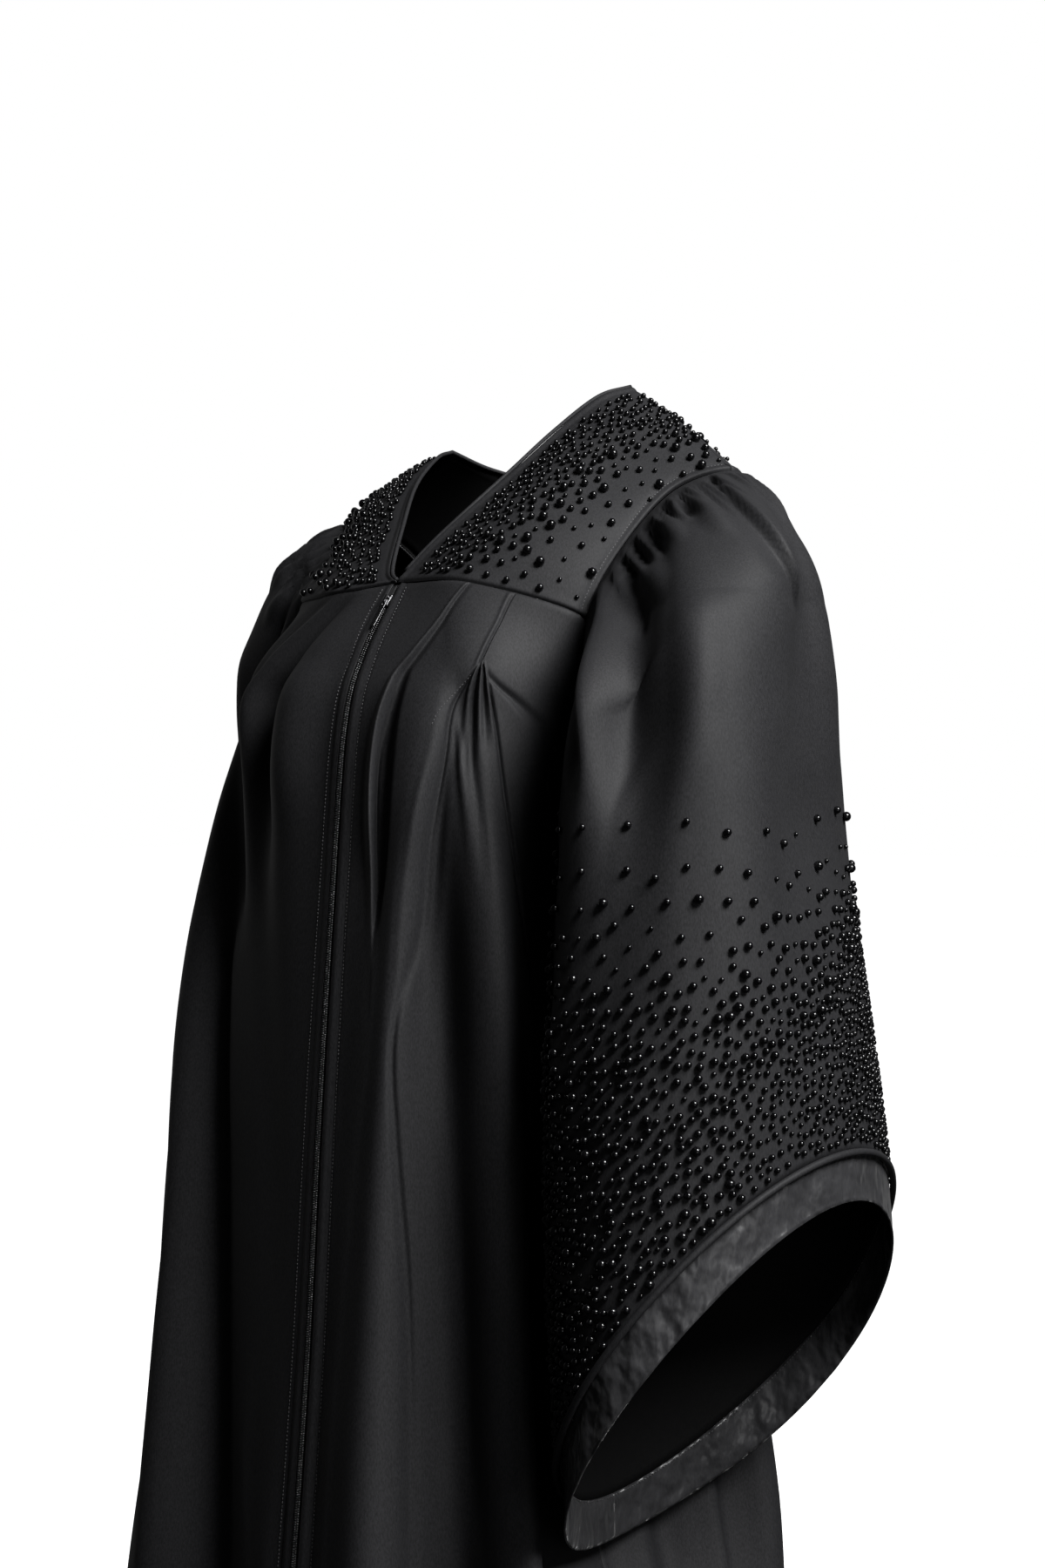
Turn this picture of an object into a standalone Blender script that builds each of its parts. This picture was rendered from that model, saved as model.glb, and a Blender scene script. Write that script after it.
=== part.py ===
"""Graduation gown, filled out as if worn and open at the neck, hem and cuffs.

Metres, +Z up. The front faces -Y and the wearer's left is at +X. The origin is midway between the two neck
points, where the wearer's shoulders carry the gown.
"""

import math
from collections import namedtuple

import bmesh
import bpy
import numpy as np
from mathutils import Vector

# ---------------------------------------------------------------- driving dimensions
CLOTH = 0.0016  # thickness of a cloth wall
BAND_WIDTH = 0.040  # depth of the shiny band at each sleeve opening
PIPING_RADIUS = 0.0030
PIPING_CLEARANCE = 0.0006
BINDING_RADIUS = 0.0019
BINDING_CLEARANCE = 0.0006
TOP_STATION = 0.012  # just below the yoke seam
HEM_STATION = 8.0
UNDERARM_STATION = 2.0

# ---------------------------------------------------------------- the zip
CHAIN_WIDTH = 0.0056
CHAIN_THICKNESS = 0.0022
FRONT_EDGE = 0.0046  # each front stops this far from the centre line
TAPE_INNER = 0.0033
TAPE_REACH = (("left", 0.85), ("right", 0.55))  # how far each tape goes behind the first column of its front
TAPE_THICKNESS = 0.0010
TAPE_CLEARANCE = 0.0005
SLIDER_STATION = 0.26
CHAIN_BELOW_SLIDER = 0.105  # in stations
CHAIN_ABOVE_HEM = 0.06
STOP_ABOVE_HEM = 0.03
SLIDER_LENGTH = 0.0120
SLIDER_TOP_WIDTH = 0.0082
SLIDER_FOOT_WIDTH = 0.0056
SLIDER_FACE = 0.0015  # its front face, measured out from the fronts
SLIDER_BACK = -0.0017
SLIDER_BEVEL = 0.0006
BRIDGE_WIDTH = 0.0020
BRIDGE_THICKNESS = 0.0011
BRIDGE_TOP = 0.0047
BRIDGE_ROOT = 0.0005  # sunk into the slider's face
BRIDGE_START = -0.0038
BRIDGE_END = 0.0041
HINGE_ALONG = 0.0016
HINGE_OUT = 0.00255
TAB_WIDTH = 0.0056
TAB_LENGTH = 0.0300
TAB_THICKNESS = 0.0012
TAB_BAR = 0.0012
TAB_EYE_WIDTH = 0.0032
TAB_EYE_LENGTH = 0.0040
TAB_FOOT_WIDTH = 0.0045
TAB_BEVEL = 0.00025
STOP_SIZE = (0.0075, 0.0014, 0.0050)
STOP_BEVEL = 0.0004

# ---------------------------------------------------------------- the body, in sections from yoke to hem
# Distances are from the centre plane (x) and from the neck points (y). "corner" is the front fold of the
# body, "side" its side seam and "rear" the back fold. Stations 0 and 1 are the yoke seam and the chest.
Station = namedtuple("Station", "z corner_x corner_y side_x side_y rear_x rear_y")
Point = namedtuple("Point", "x y z")

CENTRE_FRONT = [
    Point(0, -0.202, -0.172), Point(0, -0.247, -0.240), Point(0, -0.270, -0.305), Point(0, -0.285, -0.450),
    Point(0, -0.302, -0.650), Point(0, -0.316, -0.850), Point(0, -0.333, -1.030), Point(0, -0.350, -1.200),
    Point(0, -0.365, -1.360),
]
CENTRE_BACK = [
    Point(0, 0.088, -0.165), Point(0, 0.100, -0.235), Point(0, 0.107, -0.305), Point(0, 0.107, -0.450),
    Point(0, 0.115, -0.650), Point(0, 0.130, -0.850), Point(0, 0.145, -1.030), Point(0, 0.160, -1.200),
    Point(0, 0.175, -1.360),
]

Half = namedtuple(
    "Half",
    "name sign reach puff yoke_corner chest_corner yoke_rear chest_rear"
    " stations armhole neck back_neck sleeve",
)
Ring = namedtuple("Ring", "z x y half_width half_depth")

LEFT = Half(
    name="left", sign=1.0, reach=0.135, puff=1.0,
    yoke_corner=Point(0.092, -0.205, -0.177), chest_corner=Point(0.125, -0.228, -0.243),
    yoke_rear=Point(0.100, 0.090, -0.166), chest_rear=Point(0.120, 0.095, -0.240),
    stations=[
        Station(-0.305, 0.135, -0.238, 0.165, -0.090, 0.130, 0.085),
        Station(-0.450, 0.142, -0.245, 0.156, -0.095, 0.142, 0.088),
        Station(-0.650, 0.150, -0.248, 0.151, -0.100, 0.155, 0.098),
        Station(-0.850, 0.160, -0.255, 0.149, -0.100, 0.172, 0.110),
        Station(-1.030, 0.178, -0.268, 0.150, -0.100, 0.198, 0.118),
        Station(-1.200, 0.208, -0.282, 0.232, -0.110, 0.212, 0.111),
        Station(-1.360, 0.240, -0.300, 0.320, -0.115, 0.250, 0.115),
    ],
    armhole=[
        Point(0.165, -0.090, -0.305), Point(0.166, -0.126, -0.262), Point(0.174, -0.144, -0.210),
        Point(0.188, -0.112, -0.148), Point(0.207, -0.060, -0.092), Point(0.243, -0.019, -0.072),
        Point(0.226, 0.030, -0.086), Point(0.204, 0.056, -0.124), Point(0.188, 0.062, -0.170),
        Point(0.174, 0.018, -0.258),
    ],
    neck=[
        Point(0.000, -0.202, -0.172), Point(0.022, -0.178, -0.137), Point(0.043, -0.150, -0.104),
        Point(0.062, -0.114, -0.068), Point(0.082, -0.074, -0.028), Point(0.104, -0.036, 0.006),
        Point(0.115, 0.000, 0.019),
    ],
    back_neck=[Point(0.000, 0.082, -0.036), Point(0.060, 0.075, -0.026), Point(0.098, 0.045, -0.002),
               Point(0.115, 0.000, 0.019)],
    sleeve=[
        Ring(-0.200, 0.267, -0.095, 0.089, 0.129),
        Ring(-0.350, 0.283, -0.113, 0.104, 0.156),
        Ring(-0.550, 0.296, -0.120, 0.120, 0.171),
        Ring(-0.750, 0.301, -0.117, 0.129, 0.182),
        Ring(-1.030, 0.306, -0.115, 0.135, 0.190),
    ],
)
RIGHT = Half(
    name="right", sign=-1.0, reach=0.150, puff=0.6,
    yoke_corner=Point(0.092, -0.205, -0.180), chest_corner=Point(0.186, -0.203, -0.243),
    yoke_rear=Point(0.100, 0.090, -0.166), chest_rear=Point(0.118, 0.095, -0.240),
    stations=[
        Station(-0.305, 0.220, -0.194, 0.157, -0.080, 0.120, 0.092),
        Station(-0.450, 0.238, -0.202, 0.150, -0.066, 0.122, 0.098),
        Station(-0.650, 0.265, -0.214, 0.146, -0.058, 0.124, 0.110),
        Station(-0.850, 0.290, -0.223, 0.143, -0.054, 0.128, 0.124),
        Station(-1.030, 0.311, -0.230, 0.143, -0.054, 0.138, 0.136),
        Station(-1.200, 0.327, -0.242, 0.240, -0.064, 0.200, 0.132),
        Station(-1.360, 0.342, -0.252, 0.330, -0.080, 0.250, 0.125),
    ],
    armhole=[
        Point(0.157, -0.080, -0.305), Point(0.165, -0.122, -0.250), Point(0.174, -0.144, -0.180),
        Point(0.178, -0.104, -0.134), Point(0.204, -0.058, -0.102), Point(0.243, -0.019, -0.086),
        Point(0.226, 0.030, -0.098), Point(0.204, 0.056, -0.130), Point(0.188, 0.062, -0.170),
        Point(0.170, 0.016, -0.256),
    ],
    neck=[
        Point(0.000, -0.202, -0.172), Point(0.019, -0.190, -0.159), Point(0.053, -0.140, -0.114),
        Point(0.086, -0.085, -0.066), Point(0.108, -0.030, -0.032), Point(0.115, 0.000, -0.022),
    ],
    back_neck=[Point(0.000, 0.082, -0.036), Point(0.060, 0.074, -0.048), Point(0.098, 0.045, -0.038),
               Point(0.115, 0.000, -0.022)],
    sleeve=[
        Ring(-0.200, 0.248, -0.016, 0.084, 0.114),
        Ring(-0.350, 0.258, 0.010, 0.092, 0.133),
        Ring(-0.550, 0.280, 0.030, 0.104, 0.150),
        Ring(-0.750, 0.294, 0.040, 0.114, 0.160),
        Ring(-1.030, 0.302, 0.042, 0.120, 0.168),
    ],
)

# ---------------------------------------------------------------- sleeves
# Places round an armhole run 0 underarm, 2 front yoke corner, 5 shoulder tip, 8 back yoke corner and 10
# underarm again. Each place falls on the sleeve at this angle from its outer side, the front being negative.
# A half's reach is how far below the armhole its sleeve has swung out to its full width, and a lower puff
# rounds its head.
ARMHOLE_PLACES = 10.0
FRONT_YOKE_PLACE = 2.0
SHOULDER_PLACE = 5.0
BACK_YOKE_PLACE = 8.0
SLEEVE_DEGREES = [-180, -150, -118, -86, -48, 0, 44, 80, 116, 150, 180]
RIM_MIDDLE = -0.865  # the opening's rim: its middle height, and how far the outer side is above it
RIM_RISE = 0.165
RIM_DROP = 0.020  # the front and back of the rim hang this much lower than a flat cut
RIM_RADIUS = 0.155

# ---------------------------------------------------------------- folds
# A fold stands out (or in, if its depth is negative) from its panel. Its places and depths are given at four
# levels, and "near" and "far" are its widths on either side. On the body, places run 0 at the centre and 1
# at the side seam, and the levels are the yoke seam, underarm, hip and hem.
Fold = namedtuple("Fold", "places depths near far")
BODY_LEVELS = [0.0, 2.0, 4.0, 8.0]
FRONT_LEFT_FOLDS = [
    Fold((0.46, 0.120, 0.118, 0.085), (0.000, -0.006, -0.008, -0.010), 0.050, 0.045),  # beside the zip
    Fold((0.50, 0.190, 0.195, 0.160), (0.002, 0.010, 0.014, 0.018), 0.050, 0.075),  # inner pleat
    Fold((0.52, 0.300, 0.272, 0.250), (0.000, -0.002, -0.006, -0.008), 0.040, 0.040),
    Fold((0.56, 0.360, 0.338, 0.320), (0.000, 0.005, 0.010, 0.013), 0.055, 0.070),  # second fold
    Fold((0.58, 0.450, 0.455, 0.435), (0.000, -0.006, -0.013, -0.018), 0.075, 0.075),
    Fold((0.68, 0.600, 0.574, 0.560), (0.002, 0.008, 0.014, 0.020), 0.100, 0.110),  # outer pleat
    Fold((0.85, 0.780, 0.740, 0.720), (0.000, -0.003, -0.006, -0.012), 0.090, 0.100),
]
FRONT_RIGHT_FOLDS = [
    Fold((0.42, 0.300, 0.155, 0.075), (0.003, 0.012, 0.012, 0.012), 0.110, 0.045),  # pleat
    Fold((0.50, 0.375, 0.230, 0.150), (0.000, -0.010, -0.016, -0.020), 0.055, 0.100),
    Fold((0.68, 0.560, 0.420, 0.380), (0.002, 0.004, 0.006, 0.012), 0.110, 0.120),
    Fold((0.85, 0.780, 0.720, 0.700), (0.000, -0.003, -0.004, -0.010), 0.090, 0.100),
]
BACK_FLUTES = 11  # flutes of the back, each a full wave
BACK_FLUTE_DEPTH = 0.015  # at the hem
BACK_FLUTE_LEVELS = [0, 1, 3, 8]
BACK_FLUTE_PARTS = [0.15, 0.35, 0.6, 1.0]  # part of the depth at each level
BACK_FLUTE_FADE = 0.12  # they die away over this much of the width at each side
SLEEVE_LEVELS = [0.0, 0.25, 0.60, 1.0]
SLEEVE_FOLDS = [
    Fold((2.75, 3.72, 3.90, 4.00), (-0.004, -0.014, -0.006, 0.000), 0.55, 0.70),  # under the head
    Fold((3.60, 4.45, 4.60, 4.70), (0.004, 0.006, 0.002, 0.000), 0.50, 0.50),
    Fold((4.65, 5.60, 5.80, 6.00), (0.006, 0.005, 0.000, 0.000), 0.30, 0.60),  # at the shoulder tip
    Fold((6.40, 6.80, 7.00, 7.00), (-0.003, -0.010, -0.005, 0.000), 0.55, 0.65),
]
SEAM_EASE = 0.05  # the sleeve's folds grow from nothing over this part of its length
GATHERS = 10  # small gathers of the sleeve head, between the two yoke corners
GATHER_DEPTH = 0.0042
GATHER_LENGTH = 0.10  # of the sleeve's length
HEAD_START = 0.002  # the sleeve begins this far below the armhole seam, as part of its length
HEAD_GAP = 0.0008  # and this far outside it
HEAD_CROWDING = 1.7  # how much closer together its rows are at the head
GATHER_EASE = 0.025
SLEEVE_END = 0.998
BAND_SPAN = (1.01, 2.0)

FRONT_SPAN = (0.0, 0.9985)  # each front stops just short of its side seam
BACK_SPAN = (-0.9985, 0.9985)
FRONT_SEGMENTS = (28, 14)
BACK_SEGMENTS = (40, 14)
SLEEVE_SEGMENTS = (44, 12)
BAND_SEGMENTS = (36, 2)
FRONT_YOKE_SEGMENTS = (8, 9)
FRONT_YOKE_SPANS = ((0.030, 0.998), (0.006, 0.995))
BACK_YOKE_SEGMENTS = (20, 6)
BACK_YOKE_SPANS = ((-0.995, 0.995), (0.0, 0.996))
BINDING_POINTS = 44
PIPING_POINTS = 44
CHAIN_SEGMENTS = (1, 16)

BLACK_SATIN = ("black satin", (0.012, 0.012, 0.013), 0.45, 0.0)
SHINY_BAND = ("shiny band satin", (0.020, 0.020, 0.021), 0.28, 0.0)
ZIP_TAPE_FINISH = ("zip tape", (0.010, 0.010, 0.010), 0.80, 0.0)
ZIP_METAL = ("black zip metal", (0.030, 0.030, 0.032), 0.35, 1.0)


# ---------------------------------------------------------------- curves and patches
def smooth(knots, values, x):
    """Smooth curve through rows of values at rising knots, read at x."""
    knots = np.asarray(knots, float)
    values = np.asarray(values, float)
    slopes = np.gradient(values, knots, axis=0)
    x = np.clip(np.asarray(x, float), knots[0], knots[-1])
    i = np.clip(np.searchsorted(knots, x, side="right") - 1, 0, len(knots) - 2)
    step = knots[i + 1] - knots[i]
    f = (x - knots[i]) / step
    if values.ndim > 1:
        f, step = f[:, None], step[:, None]
    return (
        (2 * f**3 - 3 * f**2 + 1) * values[i]
        + (f**3 - 2 * f**2 + f) * step * slopes[i]
        + (3 * f**2 - 2 * f**3) * values[i + 1]
        + (f**3 - f**2) * step * slopes[i + 1]
    )


def even(values, x):
    """Smooth curve through evenly spaced rows, read at x from 0 to 1."""
    return smooth(np.linspace(0, 1, len(values)), values, x)


def mirrored(half, points):
    """Rows of points as an array, on their own side of the centre plane."""
    return np.asarray(points, float) * (half.sign, 1, 1)


def armhole(half, place):
    """Point of the armhole seam at a place from 0 to 10, round the closed loop."""
    loop = mirrored(half, half.armhole)
    rows = len(loop)
    knots = np.arange(-2, rows + 3)
    return smooth(knots, loop[knots % rows], np.mod(place, ARMHOLE_PLACES))


def line(points, half, corner_rows, name, station):
    """Lengthwise line of the body through its upper points and the named columns of the lower stations."""
    lower = [(getattr(row, name + "_x"), getattr(row, name + "_y"), row.z) for row in half.stations]
    rows = mirrored(half, list(points) + lower)[corner_rows:]
    return smooth(np.arange(corner_rows, corner_rows + len(rows)), rows, station)


def side_line(half, station, upward):
    """Outer edge of a body panel: the armhole down to the underarm, then the side seam."""
    start = FRONT_YOKE_PLACE if upward > 0 else BACK_YOKE_PLACE
    above = armhole(half, start - upward * station)
    below = line([], half, 0, "side", station - UNDERARM_STATION)
    return np.where((station < UNDERARM_STATION)[:, None], above, below)


def across(centre, corner, side, s):
    """Point at s from 0 to 1 on the curve from the centre line through the corner to the side."""
    turn = (side - centre) * 0.5
    start = (corner - centre) * (1.0, 0.35, 1.0)
    end = (side - corner) * (0.0, 1.0, 1.0)
    inner = hermite(centre, corner, start, turn, s * 2)
    outer = hermite(corner, side, turn, end, s * 2 - 1)
    return np.where((s < 0.5)[:, None], inner, outer)


def hermite(a, b, slope_a, slope_b, f):
    """Cubic from a to b with the given end slopes."""
    f = np.clip(f, 0, 1)[:, None]
    return (
        (2 * f**3 - 3 * f**2 + 1) * a
        + (f**3 - 2 * f**2 + f) * slope_a
        + (3 * f**2 - 2 * f**3) * b
        + (f**3 - f**2) * slope_b
    )


def normals(surface, u, v, step=0.004):
    """Unit normals of a surface at (u, v)."""
    along = surface(u + step, v) - surface(u - step, v)
    down = surface(u, v + step) - surface(u, v - step)
    n = np.cross(along, down)
    return n / np.maximum(np.linalg.norm(n, axis=1, keepdims=True), 1e-12)


def relief(folds, levels, place, level):
    """Height of all the folds at a place and a level."""
    height = np.zeros(len(place))
    for fold in folds:
        offset = place - smooth(levels, fold.places, level)
        reach = np.where(offset < 0, fold.near, fold.far)
        shape = np.cos(np.clip(np.abs(offset) / reach, 0, 1) * math.pi / 2) ** 2
        height += shape * smooth(levels, fold.depths, level)
    return height


# ---------------------------------------------------------------- body panels
def station_rows(v):
    """Stations for rows v from 0 to 1: closer together above the underarm."""
    return TOP_STATION + (HEM_STATION - TOP_STATION) * (0.62 * v + 0.38 * v**2)


def front_form(half, s, station):
    """Smooth form of a front panel, from the centre (s 0) to the armhole or side seam (s 1)."""
    s, station = np.clip(s, 0, 1), np.clip(station, 0, HEM_STATION)
    centre = smooth(np.arange(len(CENTRE_FRONT)), CENTRE_FRONT, station)
    centre[:, 0] += half.sign * FRONT_EDGE
    corner = line([half.yoke_corner, half.chest_corner], half, 0, "corner", station)
    return across(centre, corner, side_line(half, station, 1.0), s)


def front_folds(half):
    """The folds of one front."""
    return FRONT_LEFT_FOLDS if half.sign > 0 else FRONT_RIGHT_FOLDS


def front_point(half, s, station, lift=0.0):
    """Point of a front panel with its folds, moved out by lift."""
    form = lambda a, b: front_form(half, a, b)
    out = normals(form, s, station) * half.sign
    height = relief(front_folds(half), BODY_LEVELS, s, station) + lift
    return form(s, station) - out * height[:, None]


def back_half_form(half, s, station):
    """Smooth form of half the back, from the centre back (s 0) to the armhole or side seam (s 1)."""
    centre = smooth(np.arange(len(CENTRE_BACK)), CENTRE_BACK, station)
    rear = line([half.yoke_rear, half.chest_rear], half, 0, "rear", station)
    return across(centre, rear, side_line(half, station, -1.0), s)


def back_form(s, station):
    """Smooth form of the back, from the right side (s -1) to the left (s 1)."""
    s, station = np.clip(s, -1, 1), np.clip(station, 0, HEM_STATION)
    left, right = back_half_form(LEFT, np.abs(s), station), back_half_form(RIGHT, np.abs(s), station)
    return np.where((s > 0)[:, None], left, right)


def back_point(s, station):
    """Point of the back panel with its flutes, which deepen towards the hem."""
    depth = BACK_FLUTE_DEPTH * smooth(BACK_FLUTE_LEVELS, BACK_FLUTE_PARTS, station)
    fade = np.clip((1 - np.abs(s)) / BACK_FLUTE_FADE, 0, 1)
    wave = np.cos(s * math.pi * BACK_FLUTES) * depth * fade
    return back_form(s, station) + normals(back_form, s, station) * wave[:, None]


# ---------------------------------------------------------------- yoke
def shoulder(half, u):
    """Shoulder line, from the neck point (u 0) to the shoulder tip (u 1)."""
    neck_point, tip = mirrored(half, [half.neck[-1], half.armhole[int(SHOULDER_PLACE)]])
    rise = np.sin(u * math.pi)[:, None] * (0, 0, 0.004)
    return neck_point + (tip - neck_point) * u[:, None] + rise


def coons(bottom, top, near, far, u, v):
    """Patch between four edges: bottom and top over u, near and far over v."""
    zero, one = np.zeros_like(u), np.ones_like(u)
    u1, v1 = u[:, None], v[:, None]
    ruled = (1 - v1) * bottom(u) + v1 * top(u) + (1 - u1) * near(v) + u1 * far(v)
    corners = (1 - u1) * (1 - v1) * bottom(zero) + u1 * (1 - v1) * bottom(one)
    return ruled - corners - (1 - u1) * v1 * top(zero) - u1 * v1 * top(one)


def front_yoke_point(half, u, v):
    """Point of a front yoke: the neck at u 0, the armhole at u 1, the seam at v 0, the shoulder at v 1."""
    return coons(
        lambda a: front_point(half, a, np.zeros_like(a)),
        lambda a: shoulder(half, a),
        lambda b: even(mirrored(half, half.neck), b),
        lambda b: armhole(half, FRONT_YOKE_PLACE + b * (SHOULDER_PLACE - FRONT_YOKE_PLACE)),
        u, v,
    )


def back_yoke_edge(half, u):
    """Lower edge of half the back yoke: its seam, then the armhole up to the shoulder tip."""
    seam = back_half_form(half, np.clip(u * 2, 0, 1), np.zeros_like(u))
    place = BACK_YOKE_PLACE - np.clip(u * 2 - 1, 0, 1) * (BACK_YOKE_PLACE - SHOULDER_PLACE)
    return np.where((u < 0.5)[:, None], seam, armhole(half, place))


def back_yoke_half(half, u, v):
    """Point of half the back yoke: the centre at u 0, the shoulder at u 1, the neck at v 0."""
    top, foot = half.back_neck[0], CENTRE_BACK[0]
    return coons(
        lambda a: even(mirrored(half, half.back_neck), a),
        lambda a: back_yoke_edge(half, a),
        lambda b: np.asarray(top) + (np.asarray(foot) - np.asarray(top)) * b[:, None],
        lambda b: shoulder(half, b),
        u, v,
    )


def back_yoke_point(u, v):
    """Point of the back yoke, from the right shoulder (u -1) to the left (u 1)."""
    left, right = back_yoke_half(LEFT, np.abs(u), v), back_yoke_half(RIGHT, np.abs(u), v)
    return np.where((u > 0)[:, None], left, right)


# ---------------------------------------------------------------- sleeves
def sleeve_form(half, place, t):
    """Smooth form of a sleeve: t 0 at the armhole, 1 at the band seam and 2 at the band's rim."""
    start = armhole(half, place) + (half.sign * HEAD_GAP, 0, 0)
    rows = np.arange(len(SLEEVE_DEGREES))
    turn = np.radians(smooth(rows, SLEEVE_DEGREES, np.clip(place, 0, ARMHOLE_PLACES)))
    rim = RIM_MIDDLE + RIM_RISE * np.cos(turn) - RIM_DROP * np.sin(turn) ** 2
    band = BAND_WIDTH * np.sqrt(1 + (RIM_RISE / RIM_RADIUS * np.sin(turn)) ** 2)
    z = start[:, 2] + (rim + band - start[:, 2]) * np.minimum(t, 1) - band * np.maximum(t - 1, 0)
    swing = (1 - (1 - np.clip((start[:, 2] - z) / half.reach, 0, 1)) ** 2) ** half.puff
    rings = np.asarray(half.sleeve)[::-1]
    ring = smooth(rings[:, 0], rings[:, 1:], z)
    x = half.sign * (ring[:, 0] + ring[:, 2] * np.cos(turn))
    y = ring[:, 1] + ring[:, 3] * np.sin(turn)
    x = start[:, 0] + (x - start[:, 0]) * swing
    y = start[:, 1] + (y - start[:, 1]) * swing
    return np.stack([x, y, z], axis=1)


def gathers(place, t):
    """Height of the small gathers at the sleeve head."""
    across_head = (place - FRONT_YOKE_PLACE) / (BACK_YOKE_PLACE - FRONT_YOKE_PLACE)
    window = np.clip(np.minimum(across_head, 1 - across_head) / 0.06, 0, 1)
    fade = np.clip(1 - t / GATHER_LENGTH, 0, 1) * np.clip((t - HEAD_START) / GATHER_EASE, 0, 1)
    return GATHER_DEPTH * window * fade * np.sin(2 * math.pi * GATHERS * across_head)


def sleeve_point(half, place, t, lift=0.0):
    """Point of a sleeve or its band with folds, moved out by lift."""
    form = lambda a, b: sleeve_form(half, a, b)
    out = normals(form, place, t) * -half.sign
    height = relief(SLEEVE_FOLDS, SLEEVE_LEVELS, place, np.minimum(t, 1)) * np.clip(t / SEAM_EASE, 0, 1)
    return form(place, t) + out * (height + gathers(place, t) + lift)[:, None]


def sleeve_rows(v):
    """Sleeve lengths t for rows v from 0 to 1: closer together at the head, and just short of the band."""
    return HEAD_START + (SLEEVE_END - HEAD_START) * v**HEAD_CROWDING


def round_sleeve(u):
    """Armhole places for u from 0 to 1: closer together over the head than under the arm."""
    return smooth([0, 0.14, 0.86, 1], [0, FRONT_YOKE_PLACE, BACK_YOKE_PLACE, ARMHOLE_PLACES], u)


# ---------------------------------------------------------------- making objects
def clear_scene():
    """Removes whatever the file opened with."""
    for obj in list(bpy.data.objects):
        bpy.data.objects.remove(obj, do_unlink=True)


def collection(name):
    """New collection, linked to the scene."""
    made = bpy.data.collections.new(name)
    bpy.context.scene.collection.children.link(made)
    return made


def finish(name, colour, roughness, metallic):
    """Principled material."""
    made = bpy.data.materials.new(name)
    made.use_nodes = True
    shader = made.node_tree.nodes["Principled BSDF"]
    shader.inputs["Base Color"].default_value = (*colour, 1.0)
    shader.inputs["Roughness"].default_value = roughness
    shader.inputs["Metallic"].default_value = metallic
    return made


def place_object(name, data, group, material_spec):
    """Object with its own material, linked to a collection."""
    obj = bpy.data.objects.new(name, data)
    data.materials.append(finish(name + " " + material_spec[0], *material_spec[1:]))
    group.objects.link(obj)
    return obj


def outward(bm, inside):
    """Turns the faces so that they look away from the inside line."""
    bm.normal_update()
    score = sum(f.normal.dot(f.calc_center_median() - inside(f.calc_center_median())) for f in bm.faces)
    if score < 0:
        bmesh.ops.reverse_faces(bm, faces=bm.faces[:])


def sheet(name, group, material_spec, surface, spans, segments, inside, thickness=CLOTH, closed=False):
    """Cloth wall: a grid laid on surface(u, v) over the spans, thickened inwards."""
    bm = bmesh.new()
    bmesh.ops.create_grid(bm, x_segments=segments[0], y_segments=segments[1], size=0.5)
    bm.verts.ensure_lookup_table()
    flat = np.array([v.co[:2] for v in bm.verts]) + 0.5
    (u0, u1), (v0, v1) = spans
    points = surface(u0 + (u1 - u0) * flat[:, 0], v0 + (v1 - v0) * flat[:, 1])
    for vert, point in zip(bm.verts, points):
        vert.co = point
    if closed:
        bmesh.ops.remove_doubles(bm, verts=bm.verts[:], dist=1e-5)
    outward(bm, inside)
    mesh = bpy.data.meshes.new(name)
    bm.to_mesh(mesh)
    bm.free()
    mesh.shade_smooth()
    obj = place_object(name, mesh, group, material_spec)
    wall = obj.modifiers.new("wall", "SOLIDIFY")
    wall.thickness = thickness
    wall.offset = -1.0
    return obj


def tube(name, group, material_spec, points, radius, cyclic):
    """Round cord through points."""
    data = bpy.data.curves.new(name, "CURVE")
    data.dimensions = "3D"
    data.bevel_depth = radius
    data.bevel_resolution = 1
    data.use_fill_caps = not cyclic
    spline = data.splines.new("POLY")
    spline.points.add(len(points) - 1)
    for knot, point in zip(spline.points, points):
        knot.co = (*point, 1.0)
    spline.use_cyclic_u = cyclic
    return place_object(name, data, group, material_spec)


def body_axis(point):
    """Point of the body's middle line at the height of a point."""
    return Vector((0.0, -0.09, point.z))


def under_shoulders(point):
    """Point inside the shoulders, below the yoke."""
    return Vector((point.x * 0.5, -0.06, -0.26))


def sleeve_axis(half):
    """Function giving the middle of the sleeve at the height of a point."""
    rings = np.asarray(half.sleeve)[::-1]

    def middle(point):
        ring = smooth(rings[:, 0], rings[:, 1:], np.array([min(point.z, -0.2)]))[0]
        return Vector((half.sign * ring[0], ring[1], min(point.z, -0.2)))

    return middle


# ---------------------------------------------------------------- the pieces
def build_fronts(group):
    """Two fronts, from the yoke seam to the hem."""
    for half in (LEFT, RIGHT):
        sheet(
            "front_" + half.name, group, BLACK_SATIN,
            lambda u, v, half=half: front_point(half, u, station_rows(v)),
            (FRONT_SPAN, (0.0, 1.0)), FRONT_SEGMENTS, body_axis,
        )


def build_back(group):
    """The back, one piece."""
    sheet(
        "back", group, BLACK_SATIN, lambda u, v: back_point(u, station_rows(v)),
        (BACK_SPAN, (0.0, 1.0)), BACK_SEGMENTS, body_axis,
    )


def build_yokes(group):
    """Two front yokes and the back yoke."""
    for half in (LEFT, RIGHT):
        sheet(
            "yoke_front_" + half.name, group, BLACK_SATIN,
            lambda u, v, half=half: front_yoke_point(half, u, v),
            FRONT_YOKE_SPANS, FRONT_YOKE_SEGMENTS, under_shoulders,
        )
    sheet(
        "yoke_back", group, BLACK_SATIN, back_yoke_point,
        BACK_YOKE_SPANS, BACK_YOKE_SEGMENTS, under_shoulders,
    )


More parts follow.
